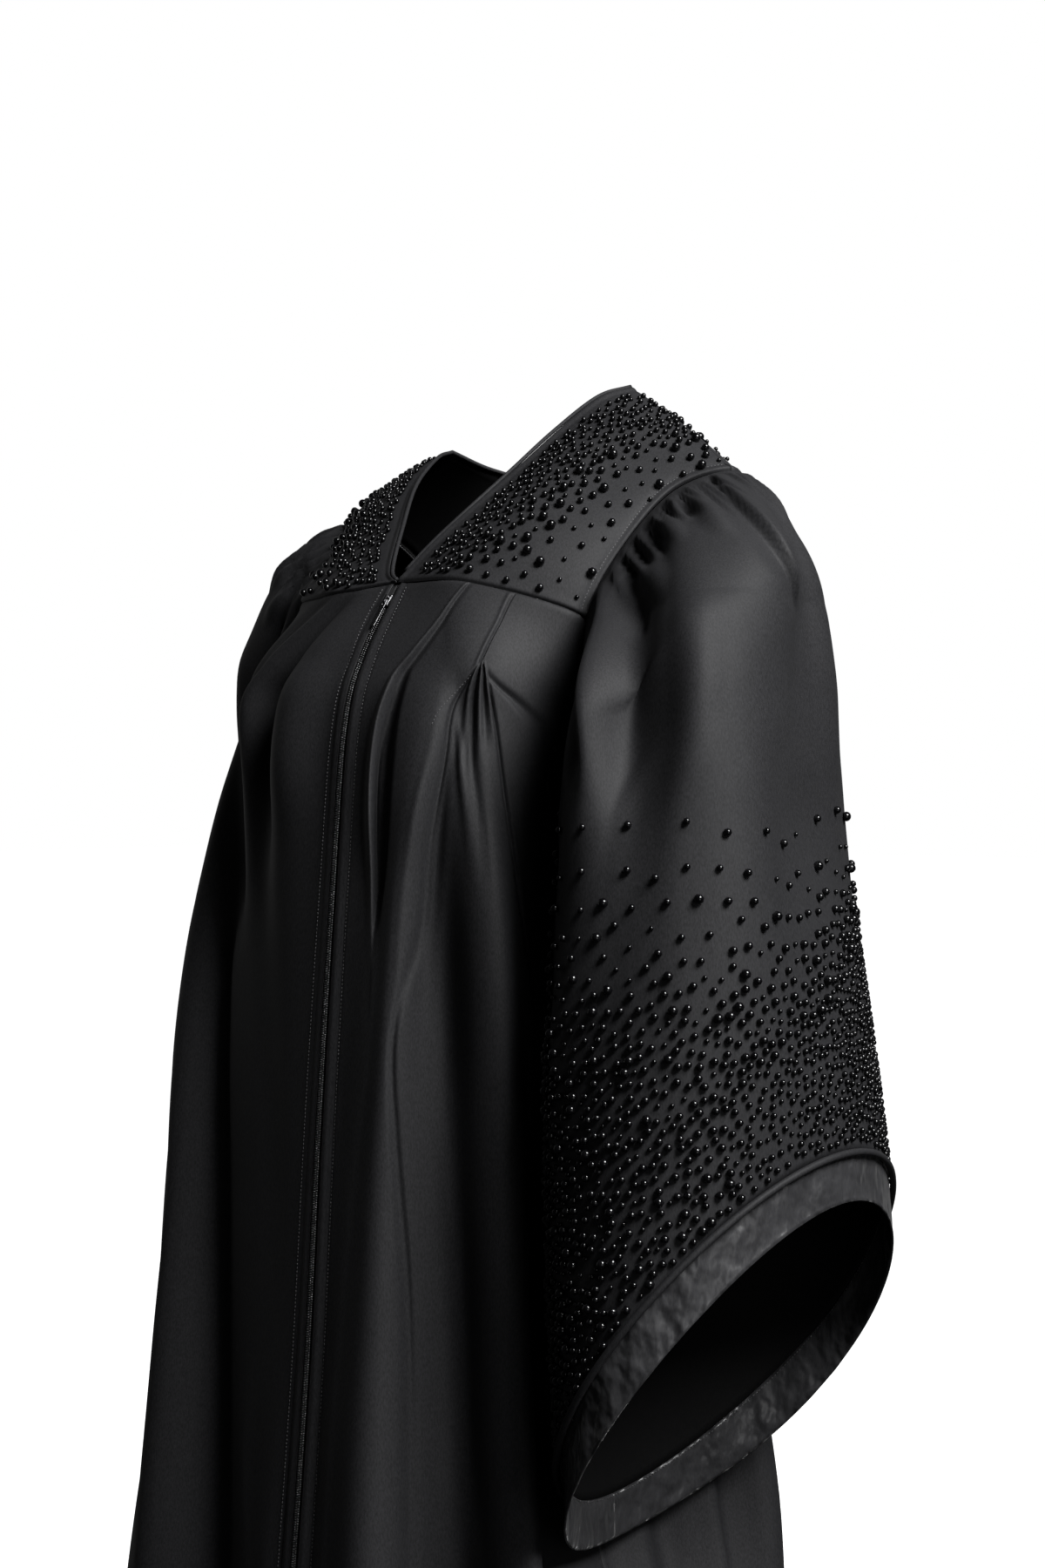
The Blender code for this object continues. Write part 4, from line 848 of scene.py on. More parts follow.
    def folded_sleeve(self, half: Half, place: Array, t: Array, lift: float = 0.0) -> Array:
        """Sleeve or its band with its folds.

        Args:
            half: The side of the gown.
            place: Places round the armhole.
            t: Lengths down the sleeve.
            lift: Distance out from the cloth.

        Returns:
            Points of the sleeve.
        """
        form = partial(self.sleeve, half)
        out = self.normals(form, place, t) * -half.sign
        down = np.minimum(t, 1)
        height, _ = raise_folds(SLEEVE_FOLDS, place, down)
        drapes = raise_drapes(SLEEVE_DRAPES, place, down)
        height += drapes if half.sign > 0 else self.far_drape_share * drapes
        height += raise_puffs(HEAD_PUFFS, place, down)
        for start, end, depth, width, reach in HEAD_GATHERS:
            along = np.clip(t / reach, 0, 1)
            ease = np.sin(along * math.pi) ** 0.7 * (1 - 0.45 * along)
            spread = width * (0.55 + 0.9 * along)
            raised = hump(place - start - (end - start) * along, spread, spread)
            height += self.gather_strength * depth * MM * ease * raised
        height *= np.clip(t / self.head_hold, 0, 1)
        return form(place, t) + out * (height + lift)[:, None]


def yoke_relief(to_armhole: Array, to_seam: Array, to_neck: Array) -> Array:
    """Height of a yoke over its form: a rolled edge at its seams, a stitched dip inside the armhole edge.

    Args:
        to_armhole: Distance from the armhole edge.
        to_seam: Distance from the lower seam.
        to_neck: Distance from the neck edge.

    Returns:
        Heights in metres.
    """
    roll = 1.5 * bell(to_armhole, 0.003, 0.0035) - 0.7 * bell(to_armhole, 0.009, 0.002)
    roll += 0.8 * bell(to_seam, 0.002, 0.003)
    roll -= 2.8 * bell(to_armhole, 0.0, 0.0012) + 1.8 * bell(to_seam, 0.0, 0.0010)
    roll += 0.7 * bell(to_neck, 0.002, 0.003) - 0.5 * bell(to_neck, 0.0075, 0.002)
    return (0.6 + roll) * MM


# ---------------------------------------------------------------- finishes
class Recipe:
    """A material's node tree under construction."""

    def __init__(self, name: str) -> None:
        """Starts an empty recipe with a Principled shader."""
        self.material = bpy.data.materials.new(name)
        self.material.use_nodes = True
        self.tree = self.material.node_tree
        self.shader = self.tree.nodes["Principled BSDF"]

    def node(self, kind: str, **settings: object) -> bpy.types.Node:
        """Adds a node.

        Args:
            kind: The node's type name.
            settings: Properties of the node to set.

        Returns:
            The node.
        """
        made = self.tree.nodes.new(kind)
        for key, value in settings.items():
            setattr(made, key, value)
        return made

    def link(self, source: Socket, target: Socket) -> None:
        """Joins two sockets."""
        self.tree.links.new(source, target)

    def noise(self, scale: float, detail: float, stretch: tuple[float, float, float] = (1, 1, 1)) -> Socket:
        """Adds a noise.

        Args:
            scale: Its scale.
            detail: Its detail.
            stretch: Scale along each axis.

        Returns:
            The noise's value.
        """
        place = self.node("ShaderNodeTexCoord")
        mapping = self.node("ShaderNodeMapping")
        mapping.inputs["Scale"].default_value = stretch
        self.link(place.outputs["Object"], mapping.inputs["Vector"])
        made = self.node("ShaderNodeTexNoise")
        made.inputs["Scale"].default_value = scale
        made.inputs["Detail"].default_value = detail
        self.link(mapping.outputs["Vector"], made.inputs["Vector"])
        return made.outputs["Fac"]

    def ramp(self, source: Socket, low: Colour, high: Colour,
             span: tuple[float, float] = (0.3, 0.7)) -> Socket:
        """Colour ramp between two colours.

        Args:
            source: The value that drives it.
            low: Colour at the low end.
            high: Colour at the high end.
            span: Where the two ends are.

        Returns:
            The ramp's colour.
        """
        made = self.node("ShaderNodeValToRGB")
        for element, where, colour in zip(made.color_ramp.elements, span, (low, high)):
            element.position = where
            element.color = (*colour, 1.0)
        self.link(source, made.inputs["Fac"])
        return made.outputs["Color"]

    def spread(self, source: Socket, low: float, high: float) -> Socket:
        """Maps a 0 to 1 value to a range."""
        made = self.node("ShaderNodeMapRange")
        made.inputs["From Min"].default_value = 0.3
        made.inputs["From Max"].default_value = 0.7
        made.inputs["To Min"].default_value = low
        made.inputs["To Max"].default_value = high
        self.link(source, made.inputs["Value"])
        return made.outputs["Result"]

    def bump(self, layers: Sequence[tuple[Socket, float, float]]) -> None:
        """Stacks bumps into the shader.

        Args:
            layers: Rows of height, strength and distance in metres.
        """
        last = None
        for height, strength, distance in layers:
            made = self.node("ShaderNodeBump")
            made.inputs["Strength"].default_value = strength
            made.inputs["Distance"].default_value = distance
            self.link(height, made.inputs["Height"])
            if last is not None:
                self.link(last, made.inputs["Normal"])
            last = made.outputs["Normal"]
        self.link(last, self.shader.inputs["Normal"])

    def coat(self, tone: Socket, dark: Colour, light: Colour, wear: Socket, low: float, high: float) -> None:
        """Colours and roughens the shader.

        Args:
            tone: The value that drives the colour.
            dark: Colour at its low end.
            light: Colour at its high end.
            wear: The value that drives the roughness.
            low: Roughness at its low end.
            high: Roughness at its high end.
        """
        self.link(self.ramp(tone, dark, light), self.shader.inputs["Base Color"])
        self.link(self.spread(wear, low, high), self.shader.inputs["Roughness"])

    def settle(self, **values: float) -> None:
        """Sets shader sockets by name, with spaces written as underscores."""
        for key, value in values.items():
            self.shader.inputs[key.replace("_", " ")].default_value = value


@dataclass(frozen=True)
class MatteSatin:
    """The gown's soft black satin: near black, with a broad low sheen and a fine twill."""

    name: str = "matte black satin"
    dark: Colour = (0.011, 0.011, 0.012)
    light: Colour = (0.024, 0.024, 0.026)
    roughness: float = 0.66
    shine: float = 0.25

    def build(self) -> bpy.types.Material:
        """Makes the material."""
        recipe = Recipe(self.name)
        fleck = recipe.noise(900.0, 2.0, (1, 1, 0.35))
        cloud = recipe.noise(7.0, 3.0)
        grain = recipe.noise(420.0, 3.0, (1.0, 1.0, 0.5))
        pucker = recipe.noise(26.0, 2.0, (1.0, 1.0, 0.55))
        recipe.coat(fleck, self.dark, self.light, cloud, self.roughness - 0.03, self.roughness + 0.03)
        recipe.bump(((pucker, 0.25, 0.0012), (grain, 0.12, 0.0003)))
        recipe.settle(Specular_IOR_Level=self.shine)
        return recipe.material


@dataclass(frozen=True)
class WrongSide:
    """The dull wrong side of the satin, seen inside the gown."""

    name: str = "dull wrong side"
    dark: Colour = (0.003, 0.003, 0.0032)
    light: Colour = (0.006, 0.006, 0.0062)
    roughness: float = 0.80

    def build(self) -> bpy.types.Material:
        """Makes the material."""
        recipe = Recipe(self.name)
        grain = recipe.noise(700.0, 2.0, (1.0, 1.0, 0.5))
        recipe.coat(grain, self.dark, self.light, grain, self.roughness - 0.04, self.roughness + 0.04)
        recipe.bump(((grain, 0.15, 0.0003),))
        recipe.settle(Specular_IOR_Level=0.12)
        return recipe.material


@dataclass(frozen=True)
class BandSatin:
    """Shiny duchess satin of the sleeve bands, puckered where it was turned and pressed; its base colour is
    lifted above the gown's black as painted sheen.
    """

    name: str = "shiny band satin"
    # Painted sheen: these colours are lighter than the gown's satin, so the bands look as if they catch more
    # light.
    dark: Colour = (0.028, 0.028, 0.030)
    light: Colour = (0.042, 0.042, 0.044)
    roughness: float = 0.36

    def build(self) -> bpy.types.Material:
        """Makes the material."""
        recipe = Recipe(self.name)
        thread = recipe.noise(1400.0, 1.0, (1, 1, 0.2))
        cloud = recipe.noise(16.0, 3.0)
        crumple = recipe.noise(36.0, 2.3, (1.0, 1.0, 0.7))
        fine = recipe.noise(160.0, 3.0)
        recipe.coat(thread, self.dark, self.light, cloud, self.roughness - 0.05, self.roughness + 0.06)
        recipe.bump(((crumple, 1.0, 0.0140), (fine, 0.2, 0.0005)))
        recipe.settle(Sheen_Weight=0.12, Sheen_Roughness=0.3)
        return recipe.material


@dataclass(frozen=True)
class TapeWeave:
    """Woven zip tape."""

    name: str = "woven zip tape"
    dark: Colour = (0.008, 0.008, 0.009)
    light: Colour = (0.020, 0.020, 0.021)

    def build(self) -> bpy.types.Material:
        """Makes the material."""
        recipe = Recipe(self.name)
        weave = recipe.noise(1100.0, 1.0, (1, 1, 3))
        recipe.coat(weave, self.dark, self.light, weave, 0.68, 0.82)
        recipe.bump(((weave, 0.4, 0.0003),))
        return recipe.material


@dataclass(frozen=True)
class DarkMetal:
    """Black-plated zip metal, rubbed a little brighter in places."""

    name: str = "black zip metal"
    dark: Colour = (0.12, 0.12, 0.125)
    light: Colour = (0.26, 0.26, 0.265)
    roughness: float = 0.30

    def build(self) -> bpy.types.Material:
        """Makes the material."""
        recipe = Recipe(self.name)
        wear = recipe.noise(260.0, 4.0)
        scuff = recipe.noise(1500.0, 2.0)
        recipe.coat(wear, self.dark, self.light, scuff, self.roughness - 0.06, self.roughness + 0.08)
        recipe.bump(((scuff, 0.15, 0.0001),))
        recipe.settle(Metallic=1.0)
        return recipe.material


@dataclass(frozen=True)
class BlackPearl:
    """Glossy black pearl."""

    name: str = "glossy black pearl"
    dark: Colour = (0.0015, 0.0015, 0.0018)
    light: Colour = (0.004, 0.004, 0.0045)
    roughness: float = 0.09

    def build(self) -> bpy.types.Material:
        """Makes the material."""
        recipe = Recipe(self.name)
        tone = recipe.noise(120.0, 2.0)
        recipe.coat(tone, self.dark, self.light, tone, self.roughness - 0.03, self.roughness + 0.05)
        recipe.settle(IOR=1.5)
        return recipe.material


@dataclass(frozen=True)
class SewingThread:
    """Lustrous black sewing thread, its greys lifted well above black as painted sheen."""

    name: str = "black sewing thread"
    # Painted sheen: both greys are far lighter than black thread, standing in for light caught on the
    # stitches.
    dark: Colour = (0.045, 0.045, 0.048)
    light: Colour = (0.085, 0.085, 0.088)

    def build(self) -> bpy.types.Material:
        """Makes the material."""
        recipe = Recipe(self.name)
        ply = recipe.noise(2500.0, 1.0)
        recipe.coat(ply, self.dark, self.light, ply, 0.42, 0.55)
        recipe.settle(Sheen_Weight=0.3)
        return recipe.material


# ---------------------------------------------------------------- the workroom
@dataclass
class Workroom:
    """Lays cloth, sets small pieces and hands each finished piece to the frame."""

    finishes: dict[Slot, bpy.types.Material] = field(default_factory=dict)
    pearl: bpy.types.Material = None
    thread: bpy.types.Material = None
    wrong_side: bpy.types.Material = None

    def stock(self) -> None:
        """Makes all the finishes."""
        self.finishes = {
            Slot.SATIN: MatteSatin().build(), Slot.BAND: BandSatin().build(),
            Slot.TAPE: TapeWeave().build(), Slot.METAL: DarkMetal().build(),
        }
        self.pearl = BlackPearl().build()
        self.wrong_side = WrongSide().build()
        self.thread = SewingThread().build()

    def inside(self, direction: Direction, half: Half | None, middles: Array) -> Array:
        """Points inside the gown, for turning faces outwards.

        Args:
            direction: Which hollow the sheet goes round.
            half: The side, for a sleeve.
            middles: Face middles.

        Returns:
            One inside point for each face.
        """
        if direction is Direction.OUT_OF_BODY:
            return middles * (0, 0, 1) + (0, -0.09, 0)
        if direction is Direction.OUT_OF_YOKE:
            return middles * (0.5, 0, 0) + (0, -0.06, -0.26)
        rings = np.asarray(half.sleeve)[::-1]
        z = np.minimum(middles[:, 2], -0.2)
        ring = smooth(rings[:, 0], rings[:, 1:], z)
        return np.stack([half.sign * ring[:, 0], ring[:, 1], z], axis=1)

    def lay_cloth(self, name: str, surface: Surface, columns: Array, rows: Array, slot: Slot,
                  direction: Direction, half: Half | None = None, thickness: float = CLOTH,
                  closed: bool = False) -> bpy.types.Object:
        """Lays a grid of cloth on a surface and gives it its thickness, inwards.

        Args:
            name: Name of the piece.
            surface: Function of (u, v) that gives points.
            columns: The u of each column.
            rows: The v of each row.
            slot: Its material slot.
            direction: Which hollow it goes round.
            half: The side, for a sleeve.
            thickness: Thickness of the cloth.
            closed: Whether the first and last columns meet.

        Returns:
            The piece.
        """
        bm = bmesh.new()
        bmesh.ops.create_grid(bm, x_segments=len(columns) - 1, y_segments=len(rows) - 1, size=0.5)
        mesh = bpy.data.meshes.new(name)
        bm.to_mesh(mesh)
        bm.free()
        flat = np.zeros(len(mesh.vertices) * 3)
        mesh.vertices.foreach_get("co", flat)
        flat = flat.reshape(-1, 3) + 0.5
        i = np.rint(flat[:, 0] * (len(columns) - 1)).astype(int)
        j = np.rint(flat[:, 1] * (len(rows) - 1)).astype(int)
        points = surface(columns[i], rows[j])
        mesh.vertices.foreach_set("co", points.astype(np.float32).ravel())
        uv = mesh.uv_layers.new(name="cloth")
        corner = np.zeros(len(mesh.loops), int)
        mesh.loops.foreach_get("vertex_index", corner)
        uv.data.foreach_set("uv", np.stack([columns[i], rows[j]], axis=1)[corner].astype(np.float32).ravel())
        mesh.update()
        middles, facing = np.zeros(len(mesh.polygons) * 3), np.zeros(len(mesh.polygons) * 3)
        mesh.polygons.foreach_get("center", middles)
        mesh.polygons.foreach_get("normal", facing)
        middles, facing = middles.reshape(-1, 3), facing.reshape(-1, 3)
        inward = np.sum(facing * (middles - self.inside(direction, half, middles))) < 0
        bm = bmesh.new()
        bm.from_mesh(mesh)
        if inward:
            bmesh.ops.reverse_faces(bm, faces=bm.faces[:])
        if closed:
            bmesh.ops.remove_doubles(bm, verts=bm.verts[:], dist=1e-5)
        bm.to_mesh(mesh)
        bm.free()
        mesh.shade_smooth()
        piece = self.hand_over(name, mesh, self.finishes[slot])
        wall = piece.modifiers.new("wall", "SOLIDIFY")
        wall.thickness = thickness
        wall.offset = -1.0
        if slot is Slot.SATIN:
            mesh.materials.append(self.wrong_side)
            wall.material_offset = 1
        return piece

    def hand_over(self, name: str, mesh: bpy.types.Mesh, material: bpy.types.Material,
                  body: str = BODY) -> bpy.types.Object:
        """Makes an object of a mesh and sets it on its body.

        Args:
            name: Name of the piece.
            mesh: Its mesh.
            material: Its finish.
            body: The body it rides on.

        Returns:
            The piece.
        """
        mesh.materials.clear()
        mesh.materials.append(material)
        piece = bpy.data.objects.new(name, mesh)
        bpy.context.scene.collection.objects.link(piece)
        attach(piece, body)
        log.info("%s: %d faces", name, len(mesh.polygons))
        return piece

    def cord(self, name: str, points: Array, radius: float, closed: bool, slot: Slot) -> bpy.types.Object:
        """Round sewn cord through points.

        Args:
            name: Name of the piece.
            points: Points of its middle line.
            radius: Its radius.
            closed: Whether it closes on itself.
            slot: Its material slot.

        Returns:
            The piece.
        """
        data = bpy.data.curves.new(name, "CURVE")
        data.dimensions = "3D"
        data.bevel_depth = radius
        data.bevel_resolution = 3
        data.use_fill_caps = not closed
        spline = data.splines.new("POLY")
        spline.points.add(len(points) - 1)
        spline.points.foreach_set("co", np.concatenate([points, np.ones((len(points), 1))], axis=1).ravel())
        spline.use_cyclic_u = closed
        curve = bpy.data.objects.new(name + "_line", data)
        mesh = bpy.data.meshes.new_from_object(curve)
        bpy.data.objects.remove(curve)
        bm = bmesh.new()
        bm.from_mesh(mesh)
        bmesh.ops.remove_doubles(bm, verts=bm.verts[:], dist=1e-6)
        bmesh.ops.recalc_face_normals(bm, faces=bm.faces[:])
        bm.to_mesh(mesh)
        bm.free()
        mesh.shade_smooth()
        return self.hand_over(name, mesh, self.finishes[slot])

    def set_many(self, name: str, template: bpy.types.Mesh, points: Array, out: Array, along: Array,
                 sizes: Array, slot: Slot, material: bpy.types.Material) -> bpy.types.Object:
        """Sets a copy of a small piece at each point, turned to the cloth there, and joins them.

        Args:
            name: Name of the joined piece.
            template: The small piece, its Z looking out and its X lying along.
            points: Where the copies go.
            out: Which way is out of the cloth.
            along: Which way they lie.
            sizes: Scale of each copy.
            slot: The material slot; not used.
            material: The finish.

        Returns:
            The joined piece.
        """
        seed = bpy.data.meshes.new(name + "_points")
        seed.vertices.add(len(points))
        seed.vertices.foreach_set("co", points.astype(np.float32).ravel())
        for label, rows in (("out", out), ("along", along)):
            ways = seed.attributes.new(label, "FLOAT_VECTOR", "POINT")
            ways.data.foreach_set("vector", rows.astype(np.float32).ravel())
        seed.attributes.new("size", "FLOAT", "POINT").data.foreach_set("value", sizes.astype(np.float32))
        small = bpy.data.objects.new(name + "_small", template)
        holder = bpy.data.objects.new(name + "_seed", seed)
        for helper in (small, holder):
            bpy.context.scene.collection.objects.link(helper)
        tree = self.setting_tree(name, small)
        holder.modifiers.new("set", "NODES").node_group = tree
        bpy.context.view_layer.update()
        ready = holder.evaluated_get(bpy.context.evaluated_depsgraph_get())
        mesh = bpy.data.meshes.new_from_object(ready)
        mesh.name = name
        for helper in (holder, small):
            bpy.data.objects.remove(helper)
        for label in ("out", "along", "size"):
            if label in mesh.attributes:
                mesh.attributes.remove(mesh.attributes[label])
        mesh.shade_smooth()
        return self.hand_over(name, mesh, material)

    def setting_tree(self, name: str, small: bpy.types.Object) -> bpy.types.NodeTree:
        """Node tree that sets copies of a small object on points.

        Args:
            name: Name for the tree.
            small: The object to copy.

        Returns:
            The tree.
        """
        tree = bpy.data.node_groups.new(name, "GeometryNodeTree")
        tree.interface.new_socket("Geometry", in_out="INPUT", socket_type="NodeSocketGeometry")
        tree.interface.new_socket("Geometry", in_out="OUTPUT", socket_type="NodeSocketGeometry")
        add, link = tree.nodes.new, tree.links.new
        start, end = add("NodeGroupInput"), add("NodeGroupOutput")
        pick, setter = add("GeometryNodeObjectInfo"), add("GeometryNodeInstanceOnPoints")
        real = add("GeometryNodeRealizeInstances")
        pick.inputs["Object"].default_value = small
        fields = {}
        for label, kind in (("out", "FLOAT_VECTOR"), ("along", "FLOAT_VECTOR"), ("size", "FLOAT")):
            read = add("GeometryNodeInputNamedAttribute")
            read.data_type = kind
            read.inputs["Name"].default_value = label
            fields[label] = read.outputs["Attribute"]
        stand, swivel = add("FunctionNodeAlignRotationToVector"), add("FunctionNodeAlignRotationToVector")
        stand.axis = "Z"
        swivel.axis, swivel.pivot_axis = "X", "Z"
        link(fields["out"], stand.inputs["Vector"])
        link(stand.outputs["Rotation"], swivel.inputs["Rotation"])
        link(fields["along"], swivel.inputs["Vector"])
        link(start.outputs[0], setter.inputs["Points"])
        link(pick.outputs["Geometry"], setter.inputs["Instance"])
        link(swivel.outputs["Rotation"], setter.inputs["Rotation"])
        link(fields["size"], setter.inputs["Scale"])
        link(setter.outputs["Instances"], real.inputs["Geometry"])
        link(real.outputs["Geometry"], end.inputs[0])
        return tree


def guided(lines: Sequence[Rows], shares: Sequence[float], u: Array, level: Array,
           gap: float = 0.008) -> Array:
    """Places whose columns follow fold lines and crowd beside them.

    Args:
        lines: Fold lines, from the centre outwards.
        shares: Part of the columns between each pair of lines, the two edges included.
        u: Columns from 0 to 1.
        level: Levels.
        gap: Least distance between two lines.

    Returns:
        Places.
    """
    marks = np.concatenate([[0.0], np.cumsum(shares)])
    marks /= marks[-1]
    knots = [np.zeros_like(level)]
    for line in lines:
        rows = np.array(line)
        knots.append(np.maximum(smooth(rows[:, 0], rows[:, 1], level), knots[-1] + gap))
    knots.append(np.ones_like(level))
    place = np.zeros_like(u)
    for k in range(len(marks) - 1):
        f = (u - marks[k]) / (marks[k + 1] - marks[k])
        eased = 0.35 * f + 0.65 * (0.5 - 0.5 * np.cos(np.clip(f, 0, 1) * math.pi))
        inside = (f >= 0) & (f <= 1)
        place = np.where(inside, knots[k] + (knots[k + 1] - knots[k]) * eased, place)
    return place


# ---------------------------------------------------------------- sub-assemblies
@dataclass
class Fronts:
    """The two pleated fronts."""

    form: GownForm
    room: Workroom
    near_grid: tuple[int, int] = (140, 180)
    far_grid: tuple[int, int] = (105, 160)
    side_edge: float = 0.9985
    flat: tuple[float, float] = (0.54, 1.22)
    cut_area: float = 0.56

    def levels(self, v: Array) -> Array:
        """Levels for rows from 0 to 1, closer together above the underarm."""
        return HEM_LEVEL * (0.80 * v + 0.20 * v**2)

    def build(self) -> None:
        """Builds both fronts."""
        plans = (
            (LEFT, (PLEAT_LINE, DART_LINE, SPREAD_LINE), (0.22, 0.27, 0.21, 0.30), self.near_grid),
            (RIGHT, (FAR_PLEAT_LINE,), (0.45, 0.55), self.far_grid),
        )
        for half, lines, shares, (columns, rows) in plans:
            def surface(u: Array, v: Array) -> Array:
                """The front on its guided columns."""
                level = self.levels(v)
                place = guided(lines, shares, u, level) * self.side_edge
                return self.form.folded_front(half, place, level)

            piece = self.room.lay_cloth(
                "front_panel_" + half.name, surface, np.linspace(0, 1, columns + 1),
                np.linspace(0, 1, rows + 1), Slot.SATIN, Direction.OUT_OF_BODY)
            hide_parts("front_" + half.name)


@dataclass
class Back:
    """The back, gathered into the back yoke."""

    form: GownForm
    room: Workroom
    columns: int = 136
    rows: int = 88
    side_edge: float = 0.9985
    flat: tuple[float, float] = (1.10, 1.24)
    cut_area: float = 1.10

    def build(self) -> None:
        """Builds the back."""
        def surface(u: Array, v: Array) -> Array:
            """The back panel."""
            return self.form.folded_back(u * self.side_edge, HEM_LEVEL * (0.75 * v + 0.25 * v**2))

        piece = self.room.lay_cloth("back_panel", surface, np.linspace(-1, 1, self.columns + 1),
                                    np.linspace(0, 1, self.rows + 1), Slot.SATIN, Direction.OUT_OF_BODY)
        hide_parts("back")


@dataclass
class Yokes:
    """Front yokes, back yoke and the rolled neck edge."""

    form: GownForm
    room: Workroom
    front_grid: int = 56
    back_grid: tuple[int, int] = (96, 40)
    binding_radius: float = 0.0019
    binding_gap: float = 0.0006
    front_flat: tuple[float, float] = (0.21, 0.22)
    front_area: float = 0.036
    back_flat: tuple[float, float] = (0.50, 0.20)
    back_area: float = 0.075

    def build(self) -> None:
        """Builds the yokes."""
        fine = 0.5 - 0.5 * np.cos(np.linspace(0, 1, self.front_grid + 1) * math.pi)
        for half in (LEFT, RIGHT):
            def surface(u: Array, v: Array) -> Array:
                """The front yoke."""
                return self.form.worked_front_yoke(half, 0.004 + 0.994 * u, 0.001 + 0.996 * v)

            piece = self.room.lay_cloth("yoke_panel_" + half.name, surface, fine, fine, Slot.SATIN,
                                        Direction.OUT_OF_YOKE)
            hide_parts("yoke_front_" + half.name)
        columns, rows = self.back_grid
        v = 0.5 - 0.5 * np.cos(np.linspace(0, 1, rows + 1) * math.pi)
        u = np.interp(np.linspace(-1, 1, columns + 1), (-1, -0.5, 0.5, 1), (-0.996, -0.5, 0.5, 0.996))
        piece = self.room.lay_cloth("yoke_panel_back", self.form.worked_back_yoke, u, v * 0.998, Slot.SATIN,
                                    Direction.OUT_OF_YOKE)
        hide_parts("yoke_back")
        self.build_binding()

    def build_binding(self) -> None:
        """Builds the rolled edge round the neck, from one side of the zip to the other."""
        reach = self.binding_radius + self.binding_gap
        runs = []
        for half in (LEFT, RIGHT):
            v, u = np.linspace(0.05, 1.0, 60), np.linspace(1.0, 0.0, 40)[1:]
            edge = self.form.front_yoke(half, np.zeros_like(v), v)
            within = self.form.front_yoke(half, np.full_like(v, 0.06), v)
            back_edge = self.form.back_yoke_half(half, u, np.zeros_like(u))
            back_within = self.form.back_yoke_half(half, u, np.full_like(u, 0.06))
            front_run = edge + unit(edge - within) * reach
            run = np.concatenate([front_run, back_edge + unit(back_edge - back_within) * reach])
            runs.append(run if half.sign > 0 else run[::-1][1:])
        piece = self.room.cord("neck_edge", np.concatenate(runs), self.binding_radius, False, Slot.SATIN)
        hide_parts("neck_binding")


@dataclass
class Sleeves:
    """Bell sleeves with their piping and shiny bands."""

    form: GownForm
    room: Workroom
    near_grid: tuple[int, int] = (220, 140)
    far_grid: tuple[int, int] = (150, 84)
    band_grid: tuple[int, int] = (240, 14)
    band_span: tuple[float, float] = (1.006, 2.0)
    head_crowding: float = 1.6
    piping_points: int = 260
    piping_radius: float = 0.0030
    piping_gap: float = 0.0006
    pucker: float = 0.0009
    flat: tuple[float, float] = (0.98, 0.86)
    cut_area: float = 0.60
    band_flat: tuple[float, float] = (1.02, 0.045)

    def rings(self, columns: int) -> Array:
        """Places round the sleeve, closer together at the front of the head."""
        u = np.linspace(0, 1, columns + 1)
        return smooth((0, 0.10, 0.58, 0.84, 1), (0, 2.0, 6.0, 8.0, 10.0), u)

    def band_surface(self, half: Half) -> Surface:
        """Surface of a band, puckered along its seam and rim."""
        def surface(place: Array, t: Array) -> Array:
            """The band."""
            base = self.form.folded_sleeve(half, place, t)
            out = self.form.normals(partial(self.form.sleeve, half), place, t) * -half.sign
            waves = (np.sin(23.7 * place + 1.3 * np.sin(3.1 * place)) * 0.6
                     + np.sin(41.0 * place + 5 * t) * 0.4 + np.sin(11.3 * place + 2 * t) * 0.5)
            edge = np.clip(np.sin((t - 1) * math.pi), 0, 1) ** 0.6
            roll = 0.0012 * bell(t, 1.985, 0.04) + 0.0006 * bell(t, 1.03, 0.03)
            share = 0.6 + 0.4 * np.sin(5.3 * place)
            return base + out * (waves * self.pucker * edge * share + roll)[:, None]
        return surface

    def build(self) -> None:
        """Builds both sleeves."""
        for half, (columns, rows) in ((LEFT, self.near_grid), (RIGHT, self.far_grid)):
            def surface(place: Array, v: Array) -> Array:
                """The sleeve from its head to the band seam."""
                return self.form.folded_sleeve(half, place, -0.004 + 1.003 * v**self.head_crowding)

            piece = self.room.lay_cloth(
                "sleeve_bell_" + half.name, surface, self.rings(columns), np.linspace(0, 1, rows + 1),
                Slot.SATIN, Direction.OUT_OF_SLEEVE, half, closed=True)
            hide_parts("sleeve_" + half.name)
            columns, rows = self.band_grid
            band = self.room.lay_cloth(
                "band_" + half.name, self.band_surface(half), np.linspace(0, ARMHOLE_PLACES, columns + 1),
                np.linspace(*self.band_span, rows + 1), Slot.BAND, Direction.OUT_OF_SLEEVE, half,
                closed=True)
            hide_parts("cuff_band_" + half.name)
            around = np.linspace(0, ARMHOLE_PLACES, self.piping_points, endpoint=False)
            lift = self.piping_radius + self.piping_gap
            seam = self.form.folded_sleeve(half, around, np.ones_like(around), lift)
            piping = self.room.cord("piping_" + half.name, seam, self.piping_radius, True, Slot.SATIN)
            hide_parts("cuff_piping_" + half.name)


